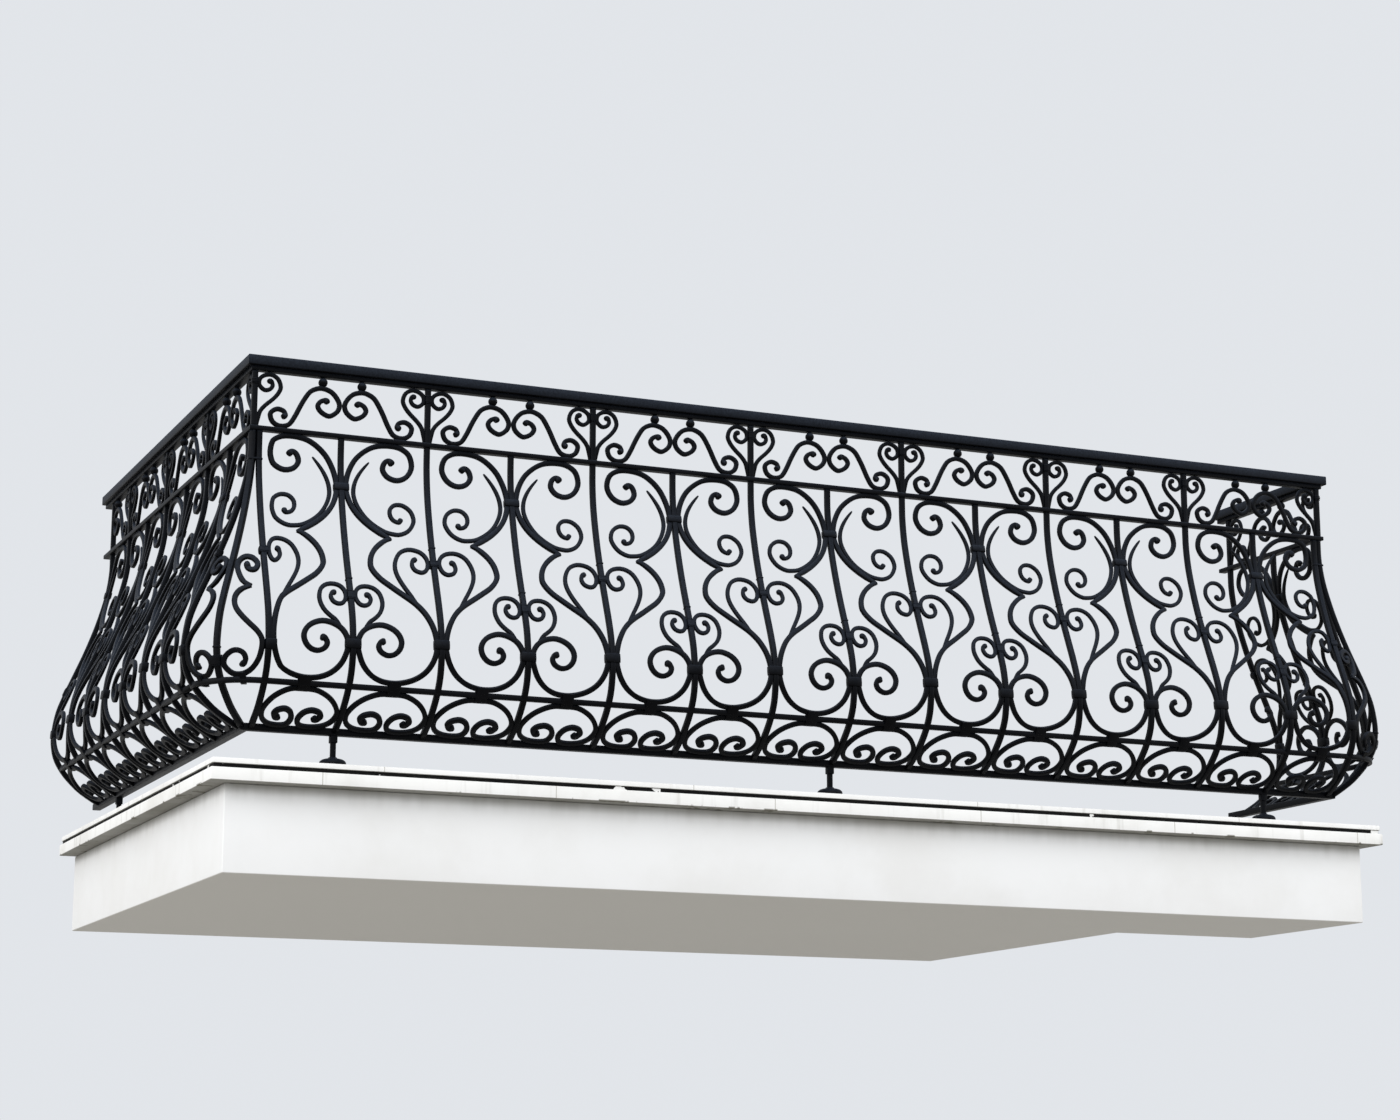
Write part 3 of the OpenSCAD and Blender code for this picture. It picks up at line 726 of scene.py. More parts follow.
class Shader:
    """Builds one node material step by step."""

    def __init__(self, name: str) -> None:
        """Starts a material with one Principled shader.

        Args:
            name: Name of the material.
        """
        self.material = bpy.data.materials.new(name)
        self.material.use_nodes = True
        self.nodes = self.material.node_tree.nodes
        self.links = self.material.node_tree.links
        self.main = self.nodes["Principled BSDF"]

    def put(self, socket: Socket, value: Value) -> None:
        """Links a socket, or sets it to a number, colour or scale.

        Args:
            socket: The socket.
            value: What feeds it.
        """
        if isinstance(value, Socket):
            self.links.new(value, socket)
        elif isinstance(value, tuple) and socket.type == "RGBA":
            socket.default_value = (*value, 1.0)
        else:
            socket.default_value = value

    def feed(self, name: str, value: Value) -> None:
        """Links or sets a socket of the Principled shader."""
        self.put(self.main.inputs[name], value)

    def node(self, kind: str, values: Dict[Union[int, str], Value], output: Union[int, str],
             **settings: object) -> Socket:
        """Adds a node.

        Args:
            kind: The node's type.
            values: Names or numbers of its inputs, each with what feeds it.
            output: Name or number of the output that is wanted.
            settings: The node's own settings.

        Returns:
            That output.
        """
        made = self.nodes.new(kind)
        for key, setting in settings.items():
            setattr(made, key, setting)
        for key, value in values.items():
            self.put(made.inputs[key], value)
        return made.outputs[output]

    def place(self) -> Socket:
        """The object's own coordinates."""
        return self.node("ShaderNodeTexCoord", {}, "Object")

    def part(self, axis: str) -> Socket:
        """One of the object's own coordinates."""
        return self.node("ShaderNodeSeparateXYZ", {0: self.place()}, axis)

    def scaled(self, scale: Triple) -> Socket:
        """The object's own coordinates, stretched by a scale on each axis."""
        return self.node("ShaderNodeMapping", {"Vector": self.place(), "Scale": scale}, "Vector")

    def noise(self, place: Socket, scale: float, detail: float, roughness: float) -> Socket:
        """A noise over coordinates, as a number."""
        return self.node("ShaderNodeTexNoise", {"Vector": place, "Scale": scale, "Detail": detail,
                                                "Roughness": roughness}, "Fac")

    def math(self, operation: str, a: Value, b: Value) -> Socket:
        """The result of a sum or a test on two numbers."""
        return self.node("ShaderNodeMath", {0: a, 1: b}, 0, operation=operation)

    def times(self, a: Value, b: Value) -> Socket:
        """The product of two numbers."""
        return self.math("MULTIPLY", a, b)

    def blend(self, a: Value, b: Value, share: float) -> Socket:
        """The sum of a share of one number and the rest of another."""
        return self.math("ADD", self.times(a, share), self.times(b, 1.0 - share))

    def ramp(self, value: Value, low: float, high: float) -> Socket:
        """A number that rises smoothly from 0 at low to 1 at high."""
        return self.node("ShaderNodeMapRange", {"Value": value, "From Min": low, "From Max": high},
                         "Result", interpolation_type="SMOOTHSTEP")

    def span(self, value: Value, low: float, high: float) -> Socket:
        """A number from 0 to 1, mapped to lie between low and high."""
        return self.node("ShaderNodeMapRange", {"Value": value, "To Min": low, "To Max": high},
                         "Result")

    def mix(self, share: Value, a: Value, b: Value) -> Socket:
        """A colour between two others."""
        return self.node("ShaderNodeMix", {0: share, 6: a, 7: b}, 2, data_type="RGBA")

    def up(self, low: float, high: float) -> Socket:
        """How much a face looks upwards, from 0 to 1."""
        normal = self.node("ShaderNodeNewGeometry", {}, "Normal")
        return self.ramp(self.node("ShaderNodeSeparateXYZ", {0: normal}, "Z"), low, high)

    def down(self, low: float, high: float) -> Socket:
        """How much a face looks downwards, from 0 to 1."""
        return self.math("SUBTRACT", 1.0, self.up(-high, -low))

    def level(self, low: float, high: float) -> Socket:
        """A number that rises from 0 to 1 between two heights of the object."""
        return self.ramp(self.part("Z"), low, high)

    def joints(self, pitch: float, offset: float, width: float) -> Socket:
        """Hairlines across the coping at a pitch, along the front and along the sides.

        Args:
            pitch: Distance between two joints.
            offset: Place of the first one.
            width: Width of a joint.

        Returns:
            A number that is 1 in a joint.
        """
        found = []
        for axis in ("X", "Y"):
            away = self.math("PINGPONG", self.math("ADD", self.part(axis), offset), pitch / 2)
            found.append(self.math("LESS_THAN", away, width / 2))
        return self.math("MAXIMUM", *found)

    def bump(self, height: Socket, strength: float, distance: float) -> None:
        """Gives the shader a bump from a height."""
        self.feed("Normal", self.node("ShaderNodeBump", {
            "Height": height, "Strength": strength, "Distance": distance}, "Normal"))


@dataclass(frozen=True)
class PaintedIron:
    """Near-black satin paint on forged iron, with hammer marks and a dusty coat on what looks
    upwards, which also paints the sheen of light from above.

    Attributes:
        dark: The paint's darker colour.
        light: The paint's lighter colour.
        dust_and_sheen: Colour of the dusty coat and painted sheen on what looks upwards.
        roughness: Middle of the roughness.
        sheen: The paint's specular level.
        name: Name of the material.
        lean: How upright a face's normal stands where the painted sheen starts and where it is
            full.
    """

    dark: Triple = (0.0007, 0.0008, 0.0013)
    light: Triple = (0.0019, 0.0021, 0.0032)
    dust_and_sheen: Triple = (0.044, 0.056, 0.080)
    roughness: float = 0.40
    sheen: float = 0.06
    name: str = "painted iron"
    lean: Pair = (-0.15, 0.75)

    def make(self) -> Material:
        """Builds the material.

        Returns:
            The new material.
        """
        coat = Shader(self.name)
        place = coat.place()
        cloud = coat.noise(place, 7.0, 3.0, 0.55)
        grain = coat.noise(place, 210.0, 3.0, 0.6)
        beaten = coat.noise(place, 62.0, 2.0, 0.5)
        colour = coat.mix(coat.ramp(cloud, 0.35, 0.68), self.dark, self.light)
        speck = coat.span(coat.ramp(grain, 0.25, 0.8), 0.35, 0.75)
        # Painted sheen with a real dusty coat: faces that look upwards get a paler, bluer colour,
        # stronger higher up, that stands in for light from above.
        dust_and_sheen_share = coat.times(coat.times(coat.up(*self.lean), speck),
                          coat.span(coat.level(0.2, 1.0), 0.45, 1.0))
        coat.feed("Base Color", coat.mix(dust_and_sheen_share, colour, self.dust_and_sheen))
        rough = coat.span(coat.blend(grain, cloud, 0.5), self.roughness - 0.09,
                          self.roughness + 0.14)
        coat.feed("Roughness", coat.math("ADD", rough, coat.times(dust_and_sheen_share, 0.3)))
        coat.feed("Specular IOR Level", self.sheen)
        coat.bump(coat.blend(beaten, grain, 0.72), 0.22, 0.0011)
        return coat.material


@dataclass(frozen=True)
class Render:
    """Smooth painted render on the slab, with a fine grain, faint clouds, run marks, and painted
    shade under the drip course and on the underside.

    Attributes:
        base: The paint's colour.
        shade: Its colour in the clouds.
        stain: Colour of the run marks below the drip course, which also paint the shade that falls
            under it.
        shade_dark: Colour of the painted shadow line right under the drip course.
        under: Colour of the painted shade on the underside.
        sheen: The paint's specular level.
    """

    base: Triple = (0.825, 0.83, 0.835)
    shade: Triple = (0.775, 0.775, 0.77)
    stain: Triple = (0.30, 0.295, 0.27)
    shade_dark: Triple = (0.17, 0.16, 0.125)
    under: Triple = (0.53, 0.515, 0.48)
    sheen: float = 0.3

    def make(self) -> Material:
        """Builds the material.

        Returns:
            The new material.
        """
        skin = Shader("painted render")
        place = skin.place()
        cloud = skin.noise(place, 2.2, 5.0, 0.62)
        grain = skin.noise(place, 330.0, 3.0, 0.6)
        trowel = skin.noise(skin.scaled((14.0, 14.0, 34.0)), 1.0, 3.0, 0.5)
        streak = skin.noise(skin.scaled((26.0, 26.0, 1.5)), 1.0, 3.0, 0.55)
        colour = skin.mix(skin.ramp(cloud, 0.38, 0.7), self.base, self.shade)
        # Run marks below the drip course, darker towards it: real streaks, and painted shade under
        # the overhang.
        runs = skin.times(skin.level(0.052, 0.112), skin.ramp(streak, 0.32, 0.8))
        colour = skin.mix(skin.times(runs, 0.26), colour, self.stain)
        # Painted shadow: a dark line right under the drip course.
        edge = skin.times(skin.level(0.080, 0.110), skin.span(cloud, 0.35, 0.75))
        colour = skin.mix(edge, colour, self.shade_dark)
        # Painted shade: faces that look downwards get a darker colour.
        skin.feed("Base Color", skin.mix(skin.down(0.4, 0.9), colour, self.under))
        skin.feed("Roughness", skin.span(grain, 0.72, 0.9))
        skin.feed("Specular IOR Level", self.sheen)
        skin.bump(skin.blend(grain, trowel, 0.45), 0.16, 0.0012)
        return skin.material


@dataclass(frozen=True)
class CopingStone:
    """Painted stone at the slab's edge, with hairline joints, run marks, soft chips and painted
    shade on its underside.

    Attributes:
        name: Name of the material.
        base: The paint's colour.
        shade: Its colour in the clouds.
        stain: Colour of the run marks and joints.
        shade_dark: Colour of the painted shade on the underside and of the chips at its lower
            edge.
        joint: Distance between two joints.
        offset: Place of the first joint.
        crack: Width of a joint.
        sheen: The paint's specular level.
    """

    name: str = "coping stone"
    base: Triple = (0.86, 0.86, 0.85)
    shade: Triple = (0.76, 0.755, 0.735)
    stain: Triple = (0.34, 0.325, 0.28)
    shade_dark: Triple = (0.115, 0.108, 0.082)
    joint: float = 0.612
    offset: float = 0.21
    crack: float = 0.0022
    sheen: float = 0.35

    def make(self) -> Material:
        """Builds the material.

        Returns:
            The new material.
        """
        stone = Shader(self.name)
        place = stone.place()
        cloud = stone.noise(place, 5.0, 5.0, 0.65)
        grain = stone.noise(place, 260.0, 4.0, 0.6)
        runs = stone.noise(stone.scaled((30.0, 30.0, 2.4)), 1.0, 3.0, 0.6)
        bites = stone.noise(stone.scaled((13.0, 13.0, 3.0)), 1.0, 3.0, 0.7)
        colour = stone.mix(stone.ramp(cloud, 0.4, 0.75), self.base, self.shade)
        colour = stone.mix(stone.times(stone.ramp(runs, 0.56, 0.78), 0.34), colour, self.stain)
        crack = stone.joints(self.joint, self.offset, self.crack)
        colour = stone.mix(stone.times(crack, 0.72), colour, self.stain)
        # Painted shade: faces that look downwards get the dark colour.
        underside_shade = stone.times(stone.down(0.35, 0.8), stone.span(cloud, 0.7, 1.0))
        colour = stone.mix(underside_shade, colour, self.shade_dark)
        low = stone.math("SUBTRACT", 1.0, stone.level(0.1112, 0.1165))
        chips = stone.times(low, stone.ramp(bites, 0.6, 0.64))
        stone.feed("Base Color", stone.mix(chips, colour, self.shade_dark))
        stone.feed("Roughness", stone.span(grain, 0.62, 0.86))
        stone.feed("Specular IOR Level", self.sheen)
        height = stone.math("SUBTRACT", stone.times(grain, 0.4), stone.times(crack, 0.9))
        stone.bump(height, 0.3, 0.0016)
        return stone.material


@dataclass(frozen=True)
class DarkJoint:
    """The dark seal in the joint between the coping and the deck topping.

    Attributes:
        dark: The seal's darker colour.
        light: The seal's lighter colour.
        mortar: Colour of the mortar where the joint is filled.
        filled: The stretch near the right end that is filled, along X.
        sheen: The seal's specular level.
    """

    dark: Triple = (0.002, 0.002, 0.002)
    light: Triple = (0.010, 0.0095, 0.009)
    mortar: Triple = (0.80, 0.80, 0.79)
    filled: Pair = (1.679, 1.7045)
    sheen: float = 0.1

    def make(self) -> Material:
        """Builds the material.

        Returns:
            The new material.
        """
        seal = Shader("dark joint")
        place = seal.place()
        cloud = seal.noise(place, 24.0, 4.0, 0.6)
        colour = seal.mix(seal.ramp(cloud, 0.4, 0.8), self.dark, self.light)
        breaks = seal.ramp(seal.noise(place, 17.0, 3.0, 0.6), 0.665, 0.68)
        past = seal.times(seal.math("GREATER_THAN", seal.part("X"), self.filled[0]),
                          seal.math("LESS_THAN", seal.part("X"), self.filled[1]))
        seal.feed("Base Color", seal.mix(seal.math("MAXIMUM", breaks, past), colour, self.mortar))
        seal.feed("Roughness", seal.span(cloud, 0.6, 0.9))
        seal.feed("Specular IOR Level", self.sheen)
        seal.bump(cloud, 0.4, 0.002)
        return seal.material


@dataclass
class Rails:
    """The straight rails of the runs, mitred at the corners, and the belly rail round them.

    Attributes:
        plan: Sizes of the railing.
        belly: The side view.
        runs: The runs.
        forge: Maker of the ironwork.
        cap: Paint of the handrail.
        edge: Radius of the edges.
        cap_edge: Radius of the handrail's edges.
        bottom_edge: Radius of the bottom rail's edges.
        sharp: Angle in degrees above which edges stay sharp.
        bend_points: Points on a quarter turn of the belly rail.
        step: Step of the belly rail's points on its straight stretch.
    """

    plan: Plan
    belly: Belly
    runs: List[Run]
    forge: Forge
    cap: Material
    edge: float = 0.0016
    cap_edge: float = 0.0022
    bottom_edge: float = 0.002
    sharp: float = 32.0
    bend_points: int = 22
    step: float = 0.06

    def prism(self, run: Run, width: float, low: float, high: float, edge: float) -> Mesh:
        """Makes a straight rail whose corner ends are mitred.

        Args:
            run: The run it lies on.
            width: Width of the rail.
            low: Height of its underside.
            high: Height of its top.
            edge: Radius of its long edges.

        Returns:
            A closed mesh in place.
        """
        ring = rounded(width / 2, (high - low) / 2, edge, 4)
        middle = (low + high) / 2
        mitre = 1.0 if run.both else 0.0
        near = np.array([(y, y, middle + z) for y, z in ring])
        far = np.array([(run.length - mitre * y, y, middle + z) for y, z in ring])
        return run.skin([near + (far - near) * t for t in np.linspace(0, 1, 9)])

    def build(self) -> None:
        """Builds the handrail, core, upper and bottom rails, then the belly rail."""
        p = self.plan
        core_top = p.handrail_top - p.handrail_h
        kinds = (
            ("handrail", p.handrail_w, core_top, p.handrail_top, self.cap_edge, self.cap),
            ("core_rail", p.rail_w, p.core_bottom, core_top, self.edge, None),
            ("upper_rail", p.rail_w, p.upper_rail - p.upper_h / 2, p.upper_rail + p.upper_h / 2,
             self.edge, None),
            ("bottom_rail", p.rail_w, p.bottom_rail - p.bottom_h / 2,
             p.bottom_rail + p.bottom_h / 2, self.bottom_edge, None),
        )
        for kind, width, low, high, edge, paint in kinds:
            for run in self.runs:
                mesh = self.prism(run, width, low, high, edge)
                self.forge.piece(f"{kind}_{run.name}", [self.forge.repeat(mesh)], self.sharp,
                                 paint)
        for run in self.runs:
            self.belly_rail(run)

    def bend(self, middle: float, radius: float, start: float) -> List[Pair]:
        """A quarter turn of the belly rail round a corner.

        Args:
            middle: Place of the turn's middle along the run.
            radius: Its radius.
            start: Angle at which it starts.

        Returns:
            Points in the plan.
        """
        gap = self.plan.corner_gap
        return [(middle + radius * math.cos(a), gap + radius * math.sin(a))
                for a in np.linspace(start, start + math.pi / 2, self.bend_points)]

    def belly_rail(self, run: Run) -> None:
        """Builds a run's belly rail. The front one also turns both corners.

        Args:
            run: The run it lies on.
        """
        p = self.plan
        out = float(self.belly.out(p.belly_rail))
        gap, reach = p.corner_gap, p.picket / 2
        far = run.cells * p.half
        if run.both:
            straight = np.arange(gap + self.step, far - gap - self.step / 2, self.step)
            line = [(-out, gap + reach), *self.bend(gap, out + gap, math.pi),
                    *((u, -out) for u in straight),
                    *self.bend(far - gap, out + gap, 1.5 * math.pi), (far + out, gap + reach)]
        else:
            line = [(u, -out) for u in np.linspace(gap + reach, far - reach, 12)]
        points = np.array([(x, y, p.belly_rail) for x, y in line])
        faces = np.tile([0.0, 0.0, 1.0], (len(points), 1))
        bar = run.stand(Bar(points, faces, p.belly_w))
        self.forge.piece(f"belly_rail_{run.name}",
                         [self.forge.sweep([bar], p.belly_w, p.belly_h, self.edge)])


@dataclass
class Corner:
    """A corner of the railing, as two runs that leave it and the diagonal between.

    Attributes:
        name: Name of the corner, as in its CAD nodes.
        front: The front run, as it leaves this corner.
        side: The side run that leaves it.
    """

    name: str
    front: Run
    side: Run

    def runs(self) -> Tuple[Run, Run]:
        """The two runs that leave the corner."""
        return self.front, self.side

    def diagonal(self) -> Run:
        """The axes of the corner's diagonal picket, whose own -Y is straight out."""
        middle = (self.front.angle + self.side.angle) / 2
        return Run("diagonal", 0, 0.0, self.front.corner, middle, 1.0, False, self.front.plan)

    def fans(self) -> List[Run]:
        """Finds the axes of the two fans, each halfway between the diagonal and a run.

        Returns:
            The axes as runs of no length.
        """
        middle = self.diagonal().angle
        return [Run("fan", 0, 0.0, run.corner, (run.angle + middle) / 2, run.sense, False,
                    run.plan) for run in self.runs()]


@dataclass
class Pickets:
    """The square pickets, which follow the belly, and the fanned pickets at the corners.

    Attributes:
        plan: Sizes of the railing.
        belly: The side view.
        forge: Maker of the ironwork.
        edge: Radius of a picket's edges.
        step: Step of a picket's points.
    """

    plan: Plan
    belly: Belly
    forge: Forge
    edge: float = 0.0019
    step: float = 0.011

    def picket(self, u: float, top: float, share: float = 1.0) -> Bar:
        """A picket's bar.

        Args:
            u: Its place along the run.
            top: Height of its top.
            share: How much of the belly it takes.

        Returns:
            The bar in the run's own axes.
        """
        low = self.plan.bottom_rail
        z = np.linspace(low, top, int((top - low) / self.step) + 1)
        points, faces = self.belly.place(np.full_like(z, u), z, share)
        return Bar(points, faces, self.plan.picket)

    def sweep(self, bars: Sequence[Bar], copies: int = 1, pitch: Triple = STILL) -> Mesh:
        """Sweeps pickets and repeats them along a run."""
        side = self.plan.picket
        return self.forge.sweep(bars, side, side, self.edge, copies, pitch)

    def build(self, runs: Sequence[Run], corners: Sequence[Corner]) -> None:
        """Builds the pickets of the runs and corners.

        Args:
            runs: The runs.
            corners: The corners.
        """
        p = self.plan
        short_top = p.upper_rail
        long_top = p.core_bottom + p.core_h / 2
        for run in runs:
            rows = ((p.half, short_top, run.cells // 2),
                    (p.bay, long_top, (run.cells - int(run.both)) // 2))
            meshes = [self.sweep([run.stand(self.picket(u, top))], count, run.pitch(p.bay))
                      for u, top, count in rows]
            if run.cells % 2:
                meshes.append(self.sweep([run.stand(self.picket(run.cells * p.half, long_top))]))
            self.forge.piece(f"pickets_{run.name}", meshes)
        for corner in corners:
            bars = [run.stand(self.picket(p.corner_gap, short_top)) for run in corner.runs()]
            bars.append(corner.diagonal().stand(self.picket(0.0, short_top, p.corner_share)))
            post = np.array([(0.0, 0.0, z) for z in np.linspace(p.upper_rail, long_top, 16)])
            face = np.tile([0.0, -1.0, 0.0], (len(post), 1))
            bars.append(corner.front.stand(Bar(post, face, p.picket)))
            self.forge.piece(f"corner_pickets_{corner.name}", [self.sweep(bars)])


@dataclass
class Panels:
    """The scrollwork: bellied panels, frieze, border and the fans at the corners.

    Drawn sizes are in millimetres from the long picket and from the upper rail.

    Attributes:
        plan: Sizes of the railing.
        belly: The side view.
        forge: Maker of the ironwork.
        spacing: Spacing of the points along a scroll.
        touch: Drawn distance of a scroll's line from the middle of the picket that it touches.
        squeeze: Drawn width over which a scroll gives way to a corner picket.
        panel_drawn: Drawn heights of a panel's highest and lowest line.
        frieze_drawn: Drawn heights of the frieze's lowest and highest line.
        frieze_reach: Drawn distance from the long picket to the frieze wave's furthest line.
        ball_drawn: Drawn place of a ball.
        ball_radius: Radius of a ball.
        ball_open: Angles at a ball's bottom and top where its round stops.
        ball_neck: Radii of a ball's neck, each with its distance below the neck's end.
        ball_sunk: How far a ball's neck runs into the core rail.
        slope_drawn: Drawn length of the border's slope.
        arch_reach: Drawn distance from an arch's middle to its side.
        fan_turn: Angle in degrees between a fan and its run.
        fan_bulge: Share of the belly rail's round that a corner scroll takes.
        cell: Drawn lines of a half bay's panel.
        frieze_cell: Drawn lines of a half bay's frieze.
        border_arch: Drawn line of half an arch with its spiral.
        fan_upper: Drawn line of a fan's upper scroll, with shares of the flat across.
        fan_lower: The same for its lower scroll.
    """

    plan: Plan
    belly: Belly
    forge: Forge
    spacing: Spacing = Spacing()
    touch: float = 12.0
    squeeze: float = 40.0
    panel_drawn: Pair = (-14.0, -654.0)
    frieze_drawn: Pair = (8.4, 144.5)
    frieze_reach: float = 221.0
    ball_drawn: Pair = (176.0, 137.5)
    ball_radius: float = 0.0121
    ball_open: Pair = (0.12, 0.48)
    ball_neck: Tuple[Pair, ...] = ((0.0052, 0.0028), (0.0060, 0.0))
    ball_sunk: float = 0.002
    slope_drawn: float = 145.0
    arch_reach: float = 103.0
    fan_turn: float = 22.5
    fan_bulge: float = 0.7
    cell: Tuple[Drawing, ...] = field(init=False)
    frieze_cell: Tuple[Drawing, ...] = field(init=False)
    border_arch: Tuple[Pair, ...] = (
        (0, -13), (33, -15), (60, -26), (81, -42), (97, -64), (103, -86), (95, -112), (76, -128),
        (50, -134), (24, -132), (12, -121), (10, -102), (20, -83), (38, -75), (57, -81),
        (64, -94), (56, -105), (44, -101))
    fan_upper: Tuple[Pair, ...] = (
        (0.7, -430), (0.4, -419), (0.17, -398), (0, -376), (0.06, -359), (0.37, -350),
        (0.77, -354), (1, -368), (0.89, -383), (0.69, -386), (0.51, -381), (0.49, -372),
        (0.6, -368))
    fan_lower: Tuple[Pair, ...] = (
        (0.7, -430), (0.39, -438), (0.22, -451), (0.18, -468), (0.26, -489), (0.46, -511),
        (0.67, -530), (0.88, -549), (1, -569), (1, -593), (0.93, -620), (0.77, -642),
        (0.54, -653), (0.3, -654), (0.125, -647), (0, -631), (0.06, -612), (0.24, -599),
        (0.41, -598), (0.55, -606), (0.6, -620), (0.53, -630), (0.45, -627))

    def __post_init__(self) -> None:
        """Fills in the drawn lines of a half bay, from the long picket to the short one."""
        p = self.plan
        self.cell = (
            Drawing((
                (108, -270), (122, -262), (136, -254), (161, -237), (185, -215), (203, -190),
                (214, -163), (218, -135), (214, -107), (205, -81), (190, -55), (167, -33),
                (140, -18), (107, -12.5), (75, -15), (51, -29), (41.5, -52), (43.5, -73),
                (58, -93.5), (82, -103), (106, -96), (118.5, -78), (114, -59), (102, -52),
                (91, -63)), p.bar, End.ROOT, End.KNOB),
            Drawing((
                (107, -267.5), (126, -276), (148, -295), (162, -316), (168, -338), (166, -358),
                (148, -382), (122, -402), (97, -420), (74, -436), (57, -450), (38, -472),
                (22, -503), (14, -532), (12, -553), (14, -575), (24, -602), (42, -626),
                (68, -643), (98, -652), (126, -654), (154, -650), (180, -638), (201, -617),
                (213, -591), (218, -566), (213, -545), (201, -528), (181, -516), (154, -511),
                (128, -519), (111, -534), (104.5, -553), (110, -572), (124, -585), (142, -588),
                (158, -580), (164, -567), (158, -556), (146, -553)), p.bar, End.ROOT, End.KNOB),
            Drawing((
                (155, -61), (170, -79), (183, -98), (193, -119), (198, -141), (197, -163),
                (188, -188), (171, -214), (149, -234), (123, -249), (101, -254), (81, -253.5),
                (59, -242), (45, -222), (42, -204), (50, -184), (69, -171), (90, -172),
                (103, -185), (104, -202), (96, -215), (82, -219), (75, -208)),
                p.thin, End.TAIL, End.KNOB),
            Drawing((
                (56, -448), (76, -417), (91.5, -391), (101.5, -368), (104.5, -347), (100, -326),
                (88, -306), (70, -295.5), (51, -294), (31.5, -300), (18.5, -314), (15.3, -332),
                (22, -349), (35, -356), (51, -351), (58, -338), (54, -324), (43, -320)),
                p.thin, End.ROOT, End.KNOB),
            Drawing((
                (206, -536), (187, -507), (172, -495), (158, -480), (150, -461), (149, -443),
                (155, -424), (168.5, -412), (186, -408), (204, -412), (215.5, -425),
                (217.3, -443), (209, -458), (196, -462), (183.5, -456), (178.5, -443),
                (184, -433), (194, -432)), p.thin, End.ROOT, End.KNOB),
        )
        self.frieze_cell = (
            Drawing((
                (71, 33), (80, 39), (76, 50), (60, 54), (46, 46), (42, 34), (50, 17), (69, 9),
                (91, 16), (106, 40), (117, 64), (128, 86), (142, 108), (157, 118), (175, 122),
                (198, 115), (214, 98), (220.5, 80), (214, 62), (194, 49), (173, 58), (164, 73),
                (171, 86), (184, 90), (191, 82)), p.frieze_bar, End.KNOB, End.KNOB),
            Drawing((
                (8, 4), (11, 24), (16, 44), (29, 61), (46, 77), (60, 94), (67, 112), (62, 130),
                (52, 140), (38, 144), (22, 139), (12, 128), (12.5, 112), (26, 101), (40, 105),
                (46, 116), (41, 126), (32, 124)), p.thin, End.ROOT, End.KNOB),
        )

    def panel_z(self, z: Number) -> Number:
        """Height above the deck of a drawn panel height.

        Args:
            z: Drawn heights, below zero.

        Returns:
            Heights in metres.
        """
        p = self.plan
        top = p.upper_rail - p.upper_h / 2 - p.bar / 2
        low = p.belly_rail + p.belly_h / 2 + p.bar / 2
        first, last = self.panel_drawn
        return top + (z - first) * (low - top) / (last - first)

    def frieze_x(self, x: Number) -> Number:
        """Distance from the long picket of a drawn frieze place.

        Args:
            x: Drawn distances.

        Returns:
            Distances in metres.
        """
        room = self.plan.half / MM - self.plan.frieze_bar / MM / 2 - self.touch
        stretch = room / (self.frieze_reach - self.touch)
        return (self.touch + (x - self.touch) * stretch) * MM

    def frieze_z(self, z: Number) -> Number:
        """Height above the deck of a drawn frieze height.

        Args:
            z: Drawn heights, above zero.

        Returns:
            Heights in metres.
        """
        p = self.plan
        low = p.upper_rail + p.upper_h / 2 + p.thin / 2
        high = p.core_bottom - p.thin / 2
        first, last = self.frieze_drawn
        return low + (z - first) * (high - low) / (last - first)

    def panel_line(self, drawing: Drawing, gap: float) -> np.ndarray:
        """A panel bar's flat line in metres.

        Args:
            drawing: The drawn line.
            gap: How far the picket beside it stands inward, in millimetres.

        Returns:
            Distances along the half bay and heights.
        """
        line = smooth_line(drawing.points)
        x = line[:, 0] + gap * np.maximum(0.0, 1 - (line[:, 0] - self.touch) / self.squeeze)
        return self.spacing.thin(np.stack([x * MM, self.panel_z(line[:, 1])], 1))

    def cell_bars(self, run: Run, i: int) -> List[Bar]:
        """The bars of half bay i of a run, in place.

        Args:
            run: The run.
            i: Number of the half bay from the corner.

        Returns:
            The bars.
        """
        p = self.plan
        tight = i == 0 or (run.both and i == run.cells - 1)
        made = []
        for drawing in self.cell:
            line = self.panel_line(drawing, p.corner_gap / MM if tight else 0.0)
            u = (i + 1) * p.half - line[:, 0] if i % 2 else line[:, 0] + i * p.half
            points, faces = self.belly.place(u, line[:, 1])
            made.append(run.stand(Bar(points, faces, drawing.width, drawing.start,
                                      drawing.finish)))
        return made

    def frieze_bars(self, run: Run, mirrored: bool) -> List[Bar]:
        """The frieze's bars in the run's first half bay or, mirrored, in its second.

        Args:
            run: The run.
            mirrored: Whether the long picket is at the half bay's far side.

        Returns:
            The bars in place.
        """
        made = []
        for drawing in self.frieze_cell:
            line = smooth_line(drawing.points)
            line = self.spacing.thin(np.stack([self.frieze_x(line[:, 0]),
                                               self.frieze_z(line[:, 1])], 1))
            u = self.plan.bay - line[:, 0] if mirrored else line[:, 0]
            points = np.stack([u, np.zeros(len(u)), line[:, 1]], 1)
            faces = np.tile([0.0, -1.0, 0.0], (len(u), 1))
            made.append(run.stand(Bar(points, faces, drawing.width, drawing.start,
                                      drawing.finish)))
        return made

    def frieze(self, run: Run) -> None:
        """Builds a run's frieze with its balls.

        Args:
            run: The run.
        """
        p = self.plan
        step = run.pitch(p.bay)
        ball = float(self.frieze_x(self.ball_drawn[0]))
        meshes = []
        for mirrored in (False, True):
            count = (run.cells + int(not mirrored)) // 2
            meshes.append(self.forge.sweep(self.frieze_bars(run, mirrored), p.bar, p.depth,
                                           copies=count, pitch=step))
            mesh = self.ball(run, p.bay - ball if mirrored else ball)
            meshes.append(self.forge.repeat(mesh, count, step))
        self.forge.piece(f"frieze_{run.name}", meshes)

